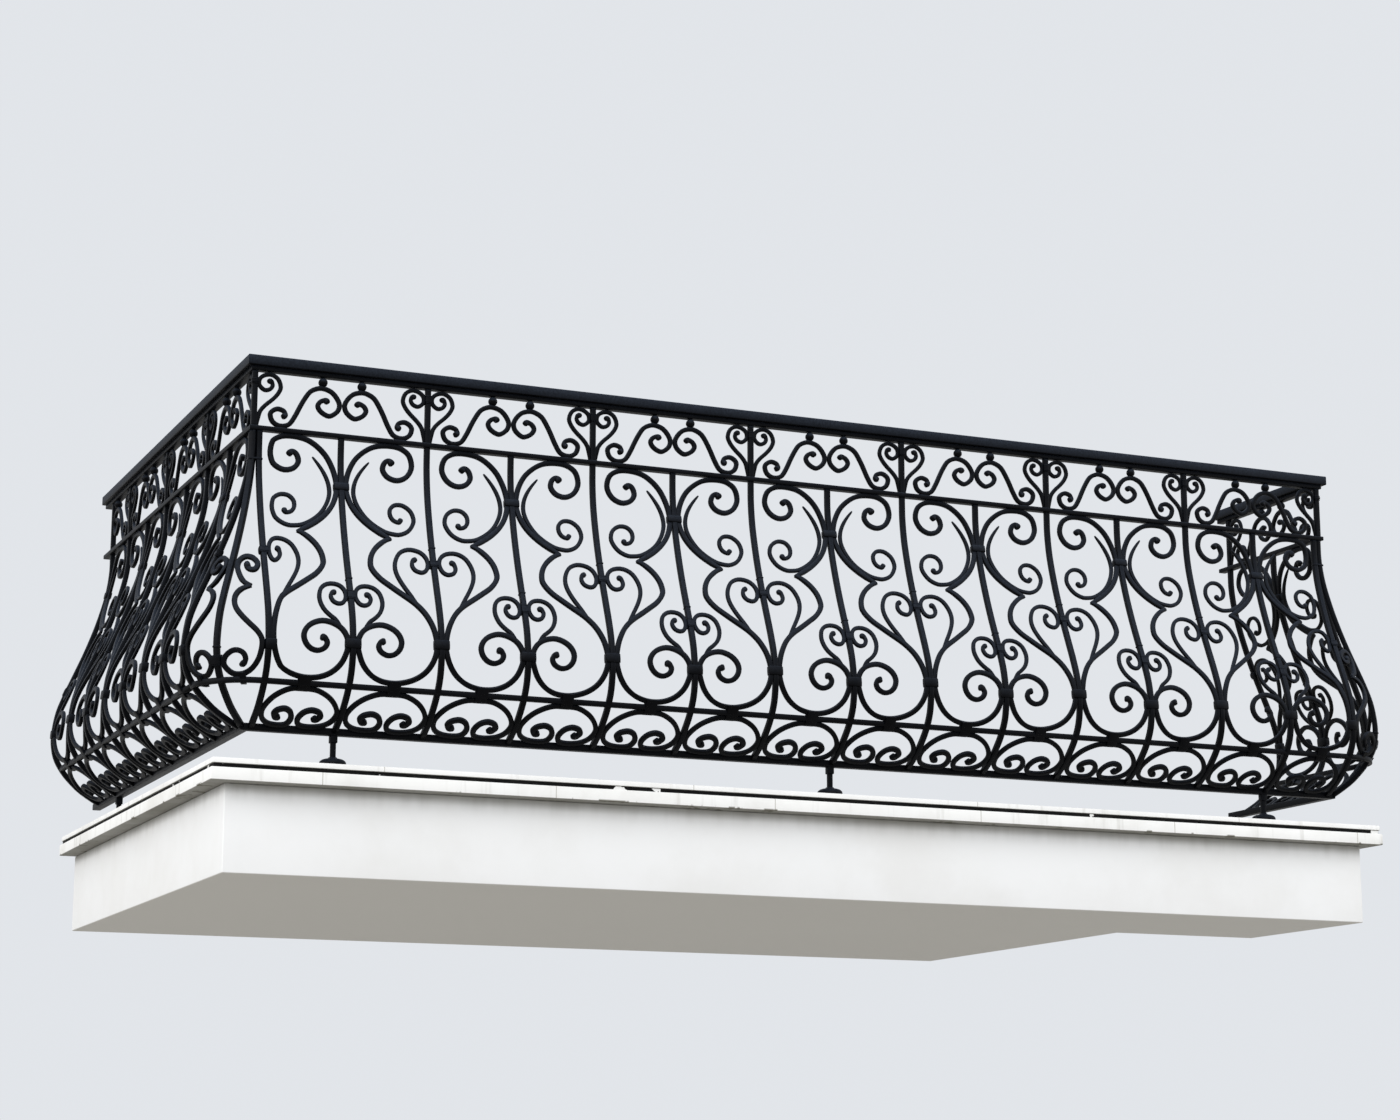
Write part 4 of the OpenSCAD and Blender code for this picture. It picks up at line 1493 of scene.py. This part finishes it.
    def ball(self, run: Run, u: float) -> Mesh:
        """A forged ball on a short neck under the core rail.

        Args:
            run: The run.
            u: Its place along the run.

        Returns:
            A closed mesh in place.
        """
        z = float(self.frieze_z(self.ball_drawn[1]))
        top = self.plan.core_bottom + self.ball_sunk
        low, high = self.ball_open
        profile = [(self.ball_radius * math.sin(a), z - self.ball_radius * math.cos(a))
                   for a in np.linspace(low, math.pi - high, 11)]
        return run.turned(u, profile + [(r, top - down) for r, down in self.ball_neck], 16)

    def border(self, run: Run) -> None:
        """Builds the border of arches and small spirals under the belly rail.

        Args:
            run: The run.
        """
        p = self.plan
        z = np.linspace(p.belly_rail, p.bottom_rail + 0.001, 60)
        out = self.belly.out(z)
        chord = np.array([out[0] - out[-1], z[0] - z[-1]])
        length = float(np.linalg.norm(chord))
        way = ((out[0] - out) * chord[0] + (z[0] - z) * chord[1]) / length
        line = smooth_line(self.border_arch)
        bars = []
        for i in range(run.cells):
            for right in (False, True):
                tight = (i == 0 and not right) or (run.both and i == run.cells - 1 and right)
                side = self.arch_reach - (p.corner_gap / MM if tight else 0.0)
                x = line[:, 0] * side / self.arch_reach * MM
                made = self.spacing.thin(
                    np.stack([x, -line[:, 1] / self.slope_drawn * length], 1))
                u = (i + 0.5) * p.half + (made[:, 0] if right else -made[:, 0])
                points, faces = self.belly.place(u, np.interp(made[:, 1], way, z))
                bars.append(run.stand(Bar(points, faces, p.border_bar, End.CUT, End.BUD)))
        self.forge.piece(f"border_{run.name}", [self.forge.sweep(bars, p.bar, p.depth)])

    def fans(self, corner: Corner) -> None:
        """Builds the scrolls between a corner's diagonal picket and the runs' first pickets.

        Args:
            corner: The corner.
        """
        p = self.plan
        turn = math.radians(self.fan_turn)
        share = math.cos(turn) * (1 + p.corner_share) / 2
        shift = p.corner_gap * math.sin(turn) / 2
        edge = p.picket / 2 * (math.cos(turn) + math.sin(turn)) + p.bar / 2
        bars = []
        for fan in corner.fans():
            for drawn in (self.fan_upper, self.fan_lower):
                line = smooth_line(drawn)
                z = self.panel_z(line[:, 1])
                low, high = self.flat_ends(self.belly.out(z), turn)
                near, far = edge + low, high - edge
                made = self.spacing.thin(np.stack([near + line[:, 0] * (far - near), z], 1))
                points, faces = self.belly.place(made[:, 0], made[:, 1], share)
                points[:, 1] += shift - self.bulge(made[:, 0], self.belly.out(made[:, 1]), turn)
                bars.append(fan.stand(Bar(points, faces, p.bar, End.ROOT, End.KNOB)))
        self.forge.piece(f"corner_scrolls_{corner.name}",
                         [self.forge.sweep(bars, p.bar, p.depth)])

    def flat_ends(self, out: np.ndarray, turn: float) -> Tuple[np.ndarray, np.ndarray]:
        """Gives where the diagonal picket and the next one cut a fan's flat.

        Args:
            out: How far the belly stands out at each point.
            turn: Angle between the flat and the run.

        Returns:
            Distances along the flat, of the diagonal picket and of the next one.
        """
        low = -self.plan.corner_share * out * math.sin(turn)
        return low, self.plan.corner_gap * math.cos(turn) + out * math.sin(turn)

    def bulge(self, u: np.ndarray, out: np.ndarray, turn: float) -> np.ndarray:
        """Gives how far a corner scroll bends out towards the round of the belly rail.

        Args:
            u: Distances along the flat between the diagonal picket and the next one.
            out: How far the belly stands out at each point.
            turn: Angle between the flat and the run.

        Returns:
            A distance for each point.
        """
        low, high = self.flat_ends(out, turn)
        half = (high - low) / 2
        away = (u - (low + high) / 2) / half
        return self.fan_bulge * half * math.tan(turn / 2) * np.clip(1 - away ** 2, 0.0, 1.0)

    def build(self, runs: Sequence[Run], corners: Sequence[Corner]) -> None:
        """Builds all the scrollwork.

        Args:
            runs: The runs.
            corners: The corners.
        """
        p = self.plan
        spans = {
            "front": (("_1", 0, 3), ("_2", 4, 7), ("_3", 8, 11), ("_4", 12, 13)),
            "left": (("_1", 0, 3), ("_2", 4, 6)),
            "right": (("", 0, 1),),
        }
        for run in runs:
            for ending, first, last in spans[run.name]:
                bars = [bar for i in range(first, last + 1) for bar in self.cell_bars(run, i)]
                self.forge.piece(f"scrolls_{run.name}{ending}",
                                 [self.forge.sweep(bars, p.bar, p.depth)])
            self.frieze(run)
            self.border(run)
        for corner in corners:
            self.fans(corner)


@dataclass(frozen=True)
class Tie:
    """One collar, boss or ring of a picket.

    Attributes:
        kind: Which of them it is.
        drawn: Drawn height of its middle, below zero on a panel and above it on the frieze.
        height: Its height.
        width: A boss's width, or how much wider than its pickets a ring is.
    """

    kind: Kind
    drawn: float
    height: float
    width: float = 0.0


@dataclass(frozen=True)
class Clip:
    """The sizes of a clip on the belly rail.

    Attributes:
        half_length: Half its length along the rail.
        half_depth: Half its depth through the railing.
        half_height: Half its height.
        edge: Radius of its long edges.
        inward: How far inside the rail's middle it sits.
        rise: How far above the rail's middle it sits.
    """

    half_length: float
    half_depth: float
    half_height: float
    edge: float
    inward: float = 0.0
    rise: float = 0.0


@dataclass
class Collars:
    """The collars, bosses, rings and clips that tie the bars to the pickets and the belly rail.

    Attributes:
        plan: Sizes of the railing.
        belly: The side view.
        forge: Maker of the ironwork.
        panels: The scrollwork that they tie.
        proud: How far a collar stands past what it holds.
        fan_u: Distance of a corner scroll's clip from the diagonal picket.
        sharp: Angle in degrees above which edges stay sharp.
        short: What a short picket has.
        long: What a long picket has.
        first: What a run's first picket has.
        across: What a corner's diagonal picket has.
        post: What a corner's post has in the frieze.
        band: The band round the pickets of a corner, under the upper rail.
    """

    plan: Plan
    belly: Belly
    forge: Forge
    panels: Panels
    proud: float = 0.0009
    fan_u: float = 0.012
    sharp: float = 38.0
    short: Tuple[Tie, ...] = (
        Tie(Kind.COLLAR, -566.0, 0.024), Tie(Kind.COLLAR, -136.0, 0.0195),
        Tie(Kind.BOSS, -438.0, 0.0265, 0.0192), Tie(Kind.RING, -392.0, 0.0042, 0.0022))
    long: Tuple[Tie, ...] = (
        Tie(Kind.COLLAR, -552.0, 0.024), Tie(Kind.BOSS, -331.0, 0.0195, 0.0235),
        Tie(Kind.BOSS, 122.0, 0.0225, 0.0176), Tie(Kind.RING, -286.0, 0.0042, 0.0022))
    first: Tuple[Tie, ...] = (
        Tie(Kind.COLLAR, -581.0, 0.026), Tie(Kind.BOSS, -331.0, 0.0195, 0.0225))
    across: Tuple[Tie, ...] = (
        Tie(Kind.BOSS, -621.0, 0.0270, 0.0250), Tie(Kind.RING, -588.0, 0.0050, 0.0024))
    post: Tie = Tie(Kind.BOSS, 122.0, 0.0150, 0.0186)
    band: Tie = Tie(Kind.RING, -82.0, 0.0050, 0.0026)

    def sleeve(self, run: Run, u: float, z: float, size: Pair, profile: Sequence[Pair],
               share: float, edge: float) -> Mesh:
        """Makes a sleeve round the bars at a place of a run, along the belly's lean.

        Args:
            run: The run.
            u: Its place along the run.
            z: Height of its middle.
            size: Its outer width along the run and its depth through the railing.
            profile: Heights from the middle, each with how much the outline stands back.
            share: How much of the belly is taken.
            edge: Radius of its upright edges.

        Returns:
            A closed mesh in place.
        """
        at, face = self.belly.place(np.array([u]), np.array([z]), share)
        out = face[0]
        side = np.array([1.0, 0.0, 0.0])
        up = np.cross(out, side)
        rings = []
        for height, back in profile:
            ring = rounded(size[0] / 2 - back, size[1] / 2 - back, edge)
            rings.append(np.array([at[0] + side * a + out * b + up * height for a, b in ring]))
        return run.skin(rings)

    def tie(self, run: Run, u: float, tie: Tie, side: Side = Side.BOTH, share: float = 1.0,
            gap: float = 0.0) -> Mesh:
        """Makes a collar, boss or ring.

        Args:
            run: The run.
            u: Place of the picket along the run, or of the middle between two pickets.
            tie: Its kind and sizes.
            side: On which side a collar holds a scroll.
            share: How much of the belly the picket takes.
            gap: Distance between the pickets that a ring goes round.

        Returns:
            A closed mesh in place.
        """
        p = self.plan
        h = tie.height / 2
        z = self.height(tie.drawn)
        if tie.kind is Kind.COLLAR:
            reach = self.panels.touch * MM + p.bar / 2 + self.proud
            bare = p.picket / 2 + self.proud
            low = -bare if side is Side.AFTER else -reach
            high = bare if side is Side.BEFORE else reach
            profile = moulding(h, ((0.0, 0.0011), (0.0006, 0.0003), (0.0016, 0.0)),
                               ((-0.001, -0.0003),))
            return self.sleeve(run, u + (low + high) / 2, z, (high - low, p.picket + 0.0038),
                               profile, share, 0.0022)
        if tie.kind is Kind.BOSS:
            profile = moulding(h, ((0.0, 0.0020), (0.0006, 0.0008), (0.0026, 0.0006),
                                   (0.0031, 0.0016), (0.0040, 0.0016), (0.0046, 0.0001)))
            return self.sleeve(run, u, z, (tie.width, p.picket + 0.0042), profile, share, 0.0016)
        profile = moulding(h, ((0.0, 0.0010), (0.0009, 0.0)))
        return self.sleeve(run, u, z, (gap + p.picket + tie.width, p.picket + 0.0028), profile,
                           share, 0.0018)

    def clip(self, run: Run, u: float, clip: Clip, steps: Sequence[Pair],
             middle: Sequence[Pair] = ()) -> Mesh:
        """Makes a clip round the belly rail, which leans with the belly.

        Args:
            run: The axes that it lies along.
            u: Place of its middle along them.
            clip: Its sizes.
            steps: Distances from its end, each with how much the outline stands back.
            middle: The same for places at its middle.

        Returns:
            A closed mesh in place.
        """
        rail = self.plan.belly_rail
        out = clip.inward - float(self.belly.out(rail))
        lean = float(self.belly.slope(rail))
        rings = []
        for x, back in moulding(clip.half_length, steps, middle):
            ring = rounded(clip.half_depth - back, clip.half_height - back, clip.edge)
            rings.append(np.array([(u + x, out + a - lean * b, rail + clip.rise + b)
                                   for a, b in ring]))
        return run.skin(rings)

    def row(self, run: Run) -> List[Mesh]:
        """Makes the collars, bosses, rings and clips that repeat along a run.

        Args:
            run: The run.

        Returns:
            Plain meshes in place.
        """
        p = self.plan
        sizes = Clip(0.0155, p.belly_w / 2 + 0.0030, 0.0172, 0.0022)
        clip = self.clip(run, p.half / 2, sizes,
                         ((0.0, 0.0011), (0.0007, 0.0003), (0.0018, 0.0)), ((0.0, 0.0),))
        made = [self.forge.repeat(clip, run.cells, run.pitch(p.half))]
        for u, count, ties in ((p.half, run.cells // 2, self.short),
                               (p.bay, (run.cells - 1) // 2, self.long)):
            if count:
                made += [self.forge.repeat(self.tie(run, u, tie), count, run.pitch(p.bay))
                         for tie in ties]
        return made

    def ends(self, run: Run) -> List[Mesh]:
        """Makes the collars and bosses of a run's last picket, with one panel beside it.

        Args:
            run: The run.

        Returns:
            Closed meshes in place.
        """
        ties = self.short if run.cells % 2 else self.long
        return [self.tie(run, run.cells * self.plan.half, tie, Side.BEFORE)
                for tie in ties if tie.kind is not Kind.RING]

    def corner(self, corner: Corner) -> List[Mesh]:
        """Makes a corner's collars, bosses, rings and clips.

        Args:
            corner: The corner.

        Returns:
            Closed meshes in place.
        """
        p = self.plan
        made = [self.tie(corner.diagonal(), 0.0, tie, share=p.corner_share)
                for tie in self.across]
        made.append(self.tie(corner.front, 0.0, self.post))
        for run in corner.runs():
            made += [self.tie(run, p.corner_gap, tie, Side.AFTER) for tie in self.first]
            made.append(self.tie(run, p.corner_gap / 2, self.band, gap=p.corner_gap))
        sizes = Clip(0.0072, 0.0096, 0.0125, 0.0020, 0.0058, 0.0035)
        for fan in corner.fans():
            made.append(self.clip(fan, self.fan_u, sizes, ((0.0, 0.0010), (0.0008, 0.0))))
        return made

    def height(self, drawn: float) -> float:
        """Height above the deck of a drawn height on a panel or on the frieze."""
        return float(self.panels.frieze_z(drawn) if drawn > 0 else self.panels.panel_z(drawn))

    def build(self, runs: Sequence[Run], corners: Sequence[Corner]) -> None:
        """Builds each run's collars, bosses and clips, with those of its corner.

        Args:
            runs: The runs.
            corners: The corners.
        """
        for run in runs:
            loose = [] if run.both else self.ends(run)
            for corner in corners:
                if corner.side is run:
                    loose += self.corner(corner)
            meshes = self.row(run) + [self.forge.repeat(mesh) for mesh in loose]
            self.forge.piece(f"collars_{run.name}", meshes, self.sharp)


@dataclass
class Feet:
    """The square feet under the bottom rail, each on a domed round plate.

    Attributes:
        plan: Sizes of the railing.
        forge: Maker of the ironwork.
        side: Side of the square stem.
        shoulder: How far the stem's head stands out.
        sharp: Angle in degrees above which edges stay sharp.
        dome: Radii of the plate, each with its height above the deck.
    """

    plan: Plan
    forge: Forge
    side: float = 0.013
    shoulder: float = 0.0028
    sharp: float = 40.0
    dome: Tuple[Pair, ...] = (
        (0.0068, 0.0), (0.0332, 0.0), (0.0340, 0.0012), (0.0340, 0.0140), (0.0331, 0.0180),
        (0.0302, 0.0212), (0.0264, 0.0236), (0.0214, 0.0252), (0.0162, 0.0262),
        (0.0126, 0.0270), (0.0112, 0.0286), (0.0104, 0.0296), (0.0094, 0.0300))

    def foot(self, run: Run, u: float) -> List[Mesh]:
        """Makes one foot.

        Args:
            run: The run.
            u: Its place along the run.

        Returns:
            Closed meshes in place.
        """
        top = self.plan.bottom_rail - self.plan.bottom_h / 2 + 0.001
        half = self.side / 2
        stem = []
        for h, out in ((0.004, half), (top - 0.020, half), (top - 0.0185, half + self.shoulder),
                       (top, half + self.shoulder)):
            stem.append(np.array([(u + a, b, h) for a, b in rounded(out, out, 0.0018)]))
        return [run.turned(u, self.dome, 40), run.skin(stem)]

    def build(self, front: Run, left: Run) -> None:
        """Builds the three front feet and the left one.

        Args:
            front: The front run.
            left: The left run.
        """
        places = {"feet_front": (front, (1, 7, 13)), "foot_left": (left, (6,))}
        for name, (run, cells) in places.items():
            meshes = [self.forge.repeat(mesh) for i in cells
                      for mesh in self.foot(run, i * self.plan.half)]
            self.forge.piece(name, meshes, self.sharp)


@dataclass(frozen=True)
class Layer:
    """One flat layer of the deck.

    Attributes:
        name: Name of the piece.
        node: The CAD node that it stands for.
        slot: Material slot of the record.
        out: How far it stands out past the railing line.
        low: Its underside.
        high: Its top.
        edge: Radius of its edges.
        finish: Its material.
    """

    name: str
    node: str
    slot: Slot
    out: float
    low: float
    high: float
    edge: float
    finish: Material


@dataclass
class Deck:
    """The rendered slab with its coping, dark joint and deck topping.

    Attributes:
        plan: Sizes of the railing.
        slab_t: Thickness of the slab.
        slab_out: How far the slab stands out past the railing line.
        drip_h: Height of the drip course.
        drip_out: How far the drip course stands out.
        joint_h: Height of the dark joint.
        joint_out: How far the seal in the joint stands out.
        topping_h: Height of the topping.
        topping_out: How far the topping stands out.
        sharp: Angle in degrees above which edges stay sharp.
    """

    plan: Plan
    slab_t: float = 0.220
    slab_out: float = 0.057
    drip_h: float = 0.032
    drip_out: float = 0.104
    joint_h: float = 0.010
    joint_out: float = 0.0955
    topping_h: float = 0.014
    topping_out: float = 0.099
    sharp: float = 28.0

    @property
    def notch(self) -> Pair:
        """Inner corner of the notch in the slab's plan."""
        p = self.plan
        return p.front_len / 2 - p.notch_w, -p.left_len + p.right_len

    def outline(self, out: float) -> List[Pair]:
        """The plan of a layer that stands out past the railing line.

        Args:
            out: How far it stands out.

        Returns:
            Corners in the plan.
        """
        left, right = -self.plan.front_len / 2 - out, self.plan.front_len / 2 + out
        front = -self.plan.left_len - out
        x, y = self.notch
        return [(left, front), (right, front), (right, y), (x, y), (x, 0.0), (left, 0.0)]

    def mounted(self, edge: bmesh.types.BMEdge) -> bool:
        """Tells whether an edge lies on a mounting face, where it stays sharp.

        Args:
            edge: The edge.

        Returns:
            True where it does.
        """
        near = 1e-5
        x, y = self.notch
        ends = [vert.co for vert in edge.verts]
        back = all(abs(c.y) < near for c in ends)
        side = all(abs(c.y - y) < near and c.x > x - near for c in ends)
        inner = all(abs(c.x - x) < near and c.y > y - near for c in ends)
        return back or side or inner

    def lay(self, layer: Layer) -> None:
        """Builds one layer with softened outer edges.

        Args:
            layer: Its sizes and finish.
        """
        bm = bmesh.new()
        base = bm.faces.new([bm.verts.new((x, y, layer.low)) for x, y in self.outline(layer.out)])
        grown = bmesh.ops.extrude_face_region(bm, geom=[base])
        tops = [v for v in grown["geom"] if isinstance(v, bmesh.types.BMVert)]
        bmesh.ops.translate(bm, verts=tops, vec=(0, 0, layer.high - layer.low))
        bmesh.ops.recalc_face_normals(bm, faces=bm.faces)
        soft = [edge for edge in bm.edges if not self.mounted(edge)]
        bmesh.ops.bevel(bm, geom=soft, offset=layer.edge, segments=3, profile=0.5,
                        affect="EDGES", clamp_overlap=True)
        mesh = bpy.data.meshes.new(layer.name)
        bm.to_mesh(mesh)
        bm.free()
        piece = joined(layer.name, [mesh], layer.finish)
        soften(piece, self.sharp)
        kept(piece, layer.slot, layer.node)

    def build(self) -> None:
        """Builds the slab, coping, topping and joint."""
        top = self.slab_t / 2
        low = top + self.drip_h
        high = low + self.joint_h
        render, stone, seal = Render().make(), CopingStone().make(), DarkJoint().make()
        deck = CopingStone("deck topping", (0.87, 0.87, 0.865), (0.78, 0.78, 0.765),
                           (0.40, 0.39, 0.35), joint=0.835, offset=0.44).make()
        for layer in (
                Layer("slab_render", "slab", Slot.RENDER, self.slab_out, -top, top, 0.004, render),
                Layer("drip_course_stone", "drip_course", Slot.COPING, self.drip_out, top, low,
                      0.003, stone),
                Layer("deck_topping_stone", "deck_topping", Slot.TOPPING, self.topping_out, high,
                      high + self.topping_h, 0.0025, deck),
                Layer("deck_joint_seal", "deck_topping", Slot.TOPPING, self.joint_out, low, high,
                      0.001, seal)):
            self.lay(layer)


@dataclass(frozen=True)
class Lamp:
    """A square soft lamp.

    Attributes:
        name: Its name.
        place: Where it hangs.
        power: Its power in watts.
        colour: Its colour.
        size: Its side.
    """

    name: str
    place: Triple
    power: float
    colour: Triple
    size: float = 5.0


@dataclass
class Studio:
    """The camera, the soft lights, the pale floor and the pale surroundings.

    Attributes:
        eye: Where the camera stands.
        turn: The camera's turn to the right, in degrees.
        rise: Its tilt upwards, in degrees.
        lens: Its lens in millimetres.
        floor: Height of the floor.
        floor_size: Half the floor's side.
        floor_colour: The floor's colour.
        sky_power: Strength of the wide main light.
        sky_angle: Width of the main light, in degrees.
        sky_way: The way that the main light shines, from above the front left.
        sky_colour: Its colour.
        aim: The point that the lamps shine on.
        lamps: The two side lamps.
        even_colour: Colour of the even light from all round.
        even_power: Strength of that light.
        ground: Colour of the background that the camera and gloss see.
    """

    eye: Triple = (-3.448, -8.732, -0.875)
    turn: float = 23.53
    rise: float = 12.2
    lens: float = 75.67
    floor: float = -2.75
    floor_size: float = 80.0
    floor_colour: Triple = (0.56, 0.55, 0.53)
    sky_power: float = 1.83
    sky_angle: float = 65.0
    sky_way: Triple = (0.3, 0.75, -0.7)
    sky_colour: Triple = (0.98, 0.99, 1.0)
    aim: Triple = (0.0, -1.2, 0.3)
    lamps: Tuple[Lamp, ...] = (
        Lamp("left lamp", (-9.5, -2.0, 3.0), 285.0, (1.0, 0.99, 0.97)),
        Lamp("right lamp", (8.5, -5.5, 3.0), 190.0, (0.97, 0.98, 1.0)))
    even_colour: Triple = (0.98, 0.99, 1.0)
    even_power: float = 0.60
    ground: Triple = (0.76, 0.785, 0.82)

    @staticmethod
    def linked(name: str, data: bpy.types.ID) -> bpy.types.Object:
        """Makes an object of its data and links it to the scene.

        Args:
            name: Its name.
            data: What it shows.

        Returns:
            The object.
        """
        made = bpy.data.objects.new(name, data)
        bpy.context.scene.collection.objects.link(made)
        return made

    def camera(self) -> None:
        """Sets the camera where the picture was taken from."""
        data = bpy.data.cameras.new("camera")
        data.lens = self.lens
        data.sensor_width = 36.0
        data.clip_end = 200.0
        seen = self.linked("camera", data)
        seen.location = self.eye
        seen.rotation_euler = (math.radians(90 + self.rise), 0.0, math.radians(-self.turn))
        bpy.context.scene.camera = seen

    def light(self, name: str, kind: str, way: Vector, power: float,
              colour: Triple) -> bpy.types.Object:
        """Adds a light.

        Args:
            name: Its name.
            kind: Its type.
            way: The way that it shines.
            power: Its power.
            colour: Its colour.

        Returns:
            The light's object.
        """
        data = bpy.data.lights.new(name, kind)
        data.energy = power
        data.color = colour
        light = self.linked(name, data)
        light.rotation_euler = way.to_track_quat("-Z", "Y").to_euler()
        return light

    def build(self) -> None:
        """Adds the lights, the floor and the world."""
        sky = self.light("sky lamp", "SUN", Vector(self.sky_way), self.sky_power, self.sky_colour)
        sky.data.angle = math.radians(self.sky_angle)
        for lamp in self.lamps:
            hung = self.light(lamp.name, "AREA", Vector(self.aim) - Vector(lamp.place),
                              lamp.power, lamp.colour)
            hung.data.shape = "SQUARE"
            hung.data.size = lamp.size
            hung.location = lamp.place
        mesh = bpy.data.meshes.new("studio floor")
        s = self.floor_size
        mesh.from_pydata([(x, y, self.floor) for x, y in ((-s, -s), (s, -s), (s, s), (-s, s))],
                         [], [(0, 1, 2, 3)])
        plain = Shader("studio floor")
        plain.feed("Base Color", self.floor_colour)
        plain.feed("Roughness", 0.9)
        mesh.materials.append(plain.material)
        self.linked("studio_floor", mesh)
        self.world()

    def world(self) -> None:
        """Surrounds the object with a pale, even light, and shows a paler ground behind it."""
        world = bpy.data.worlds.new("surroundings")
        world.use_nodes = True
        bpy.context.scene.world = world
        nodes, links = world.node_tree.nodes, world.node_tree.links
        even, shown = nodes["Background"], nodes.new("ShaderNodeBackground")
        for node, colour, power in ((even, self.even_colour, self.even_power),
                                    (shown, self.ground, 1.0)):
            node.inputs["Color"].default_value = (*colour, 1.0)
            node.inputs["Strength"].default_value = power
        path = nodes.new("ShaderNodeLightPath")
        either = nodes.new("ShaderNodeMath")
        either.operation = "MAXIMUM"
        both = nodes.new("ShaderNodeMixShader")
        for source, target in (
                (path.outputs["Is Camera Ray"], either.inputs[0]),
                (path.outputs["Is Glossy Ray"], either.inputs[1]),
                (either.outputs[0], both.inputs[0]),
                (even.outputs[0], both.inputs[1]),
                (shown.outputs[0], both.inputs[2]),
                (both.outputs[0], nodes["World Output"].inputs["Surface"])):
            links.new(source, target)


def main() -> None:
    """Builds the whole balcony."""
    logging.basicConfig(level=logging.INFO, format="%(message)s")
    studio = Studio()
    studio.camera()
    bpy.context.scene.view_settings.view_transform = "Standard"
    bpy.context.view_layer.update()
    plan = Plan()
    belly = Belly(plan)
    left_post = (-plan.front_len / 2, -plan.left_len)
    right_post = (plan.front_len / 2, -plan.left_len)
    quarter = math.pi / 2
    front = Run("front", plan.front_cells, plan.front_len, left_post, 0.0, 1.0, True, plan)
    back = Run("front", plan.front_cells, plan.front_len, right_post, 0.0, -1.0, True, plan)
    left = Run("left", plan.left_cells, plan.left_len, left_post, -quarter, -1.0, False, plan)
    right = Run("right", plan.right_cells, plan.right_len, right_post, quarter, 1.0, False, plan)
    runs = [front, left, right]
    corners = [Corner("left", front, left), Corner("right", back, right)]
    forge = Forge(PaintedIron().make())
    # The handrail gets a stronger, bluer painted sheen of light from above, with its dusty coat.
    cap = PaintedIron(name="painted handrail", dust_and_sheen=(0.062, 0.080, 0.116),
                      lean=(-0.34, 0.6)).make()
    Deck(plan).build()
    Rails(plan, belly, runs, forge, cap).build()
    Pickets(plan, belly, forge).build(runs, corners)
    panels = Panels(plan, belly, forge)
    panels.build(runs, corners)
    Collars(plan, belly, forge, panels).build(runs, corners)
    Feet(plan, forge).build(front, left)
    studio.build()


if __name__ == "__main__":
    main()
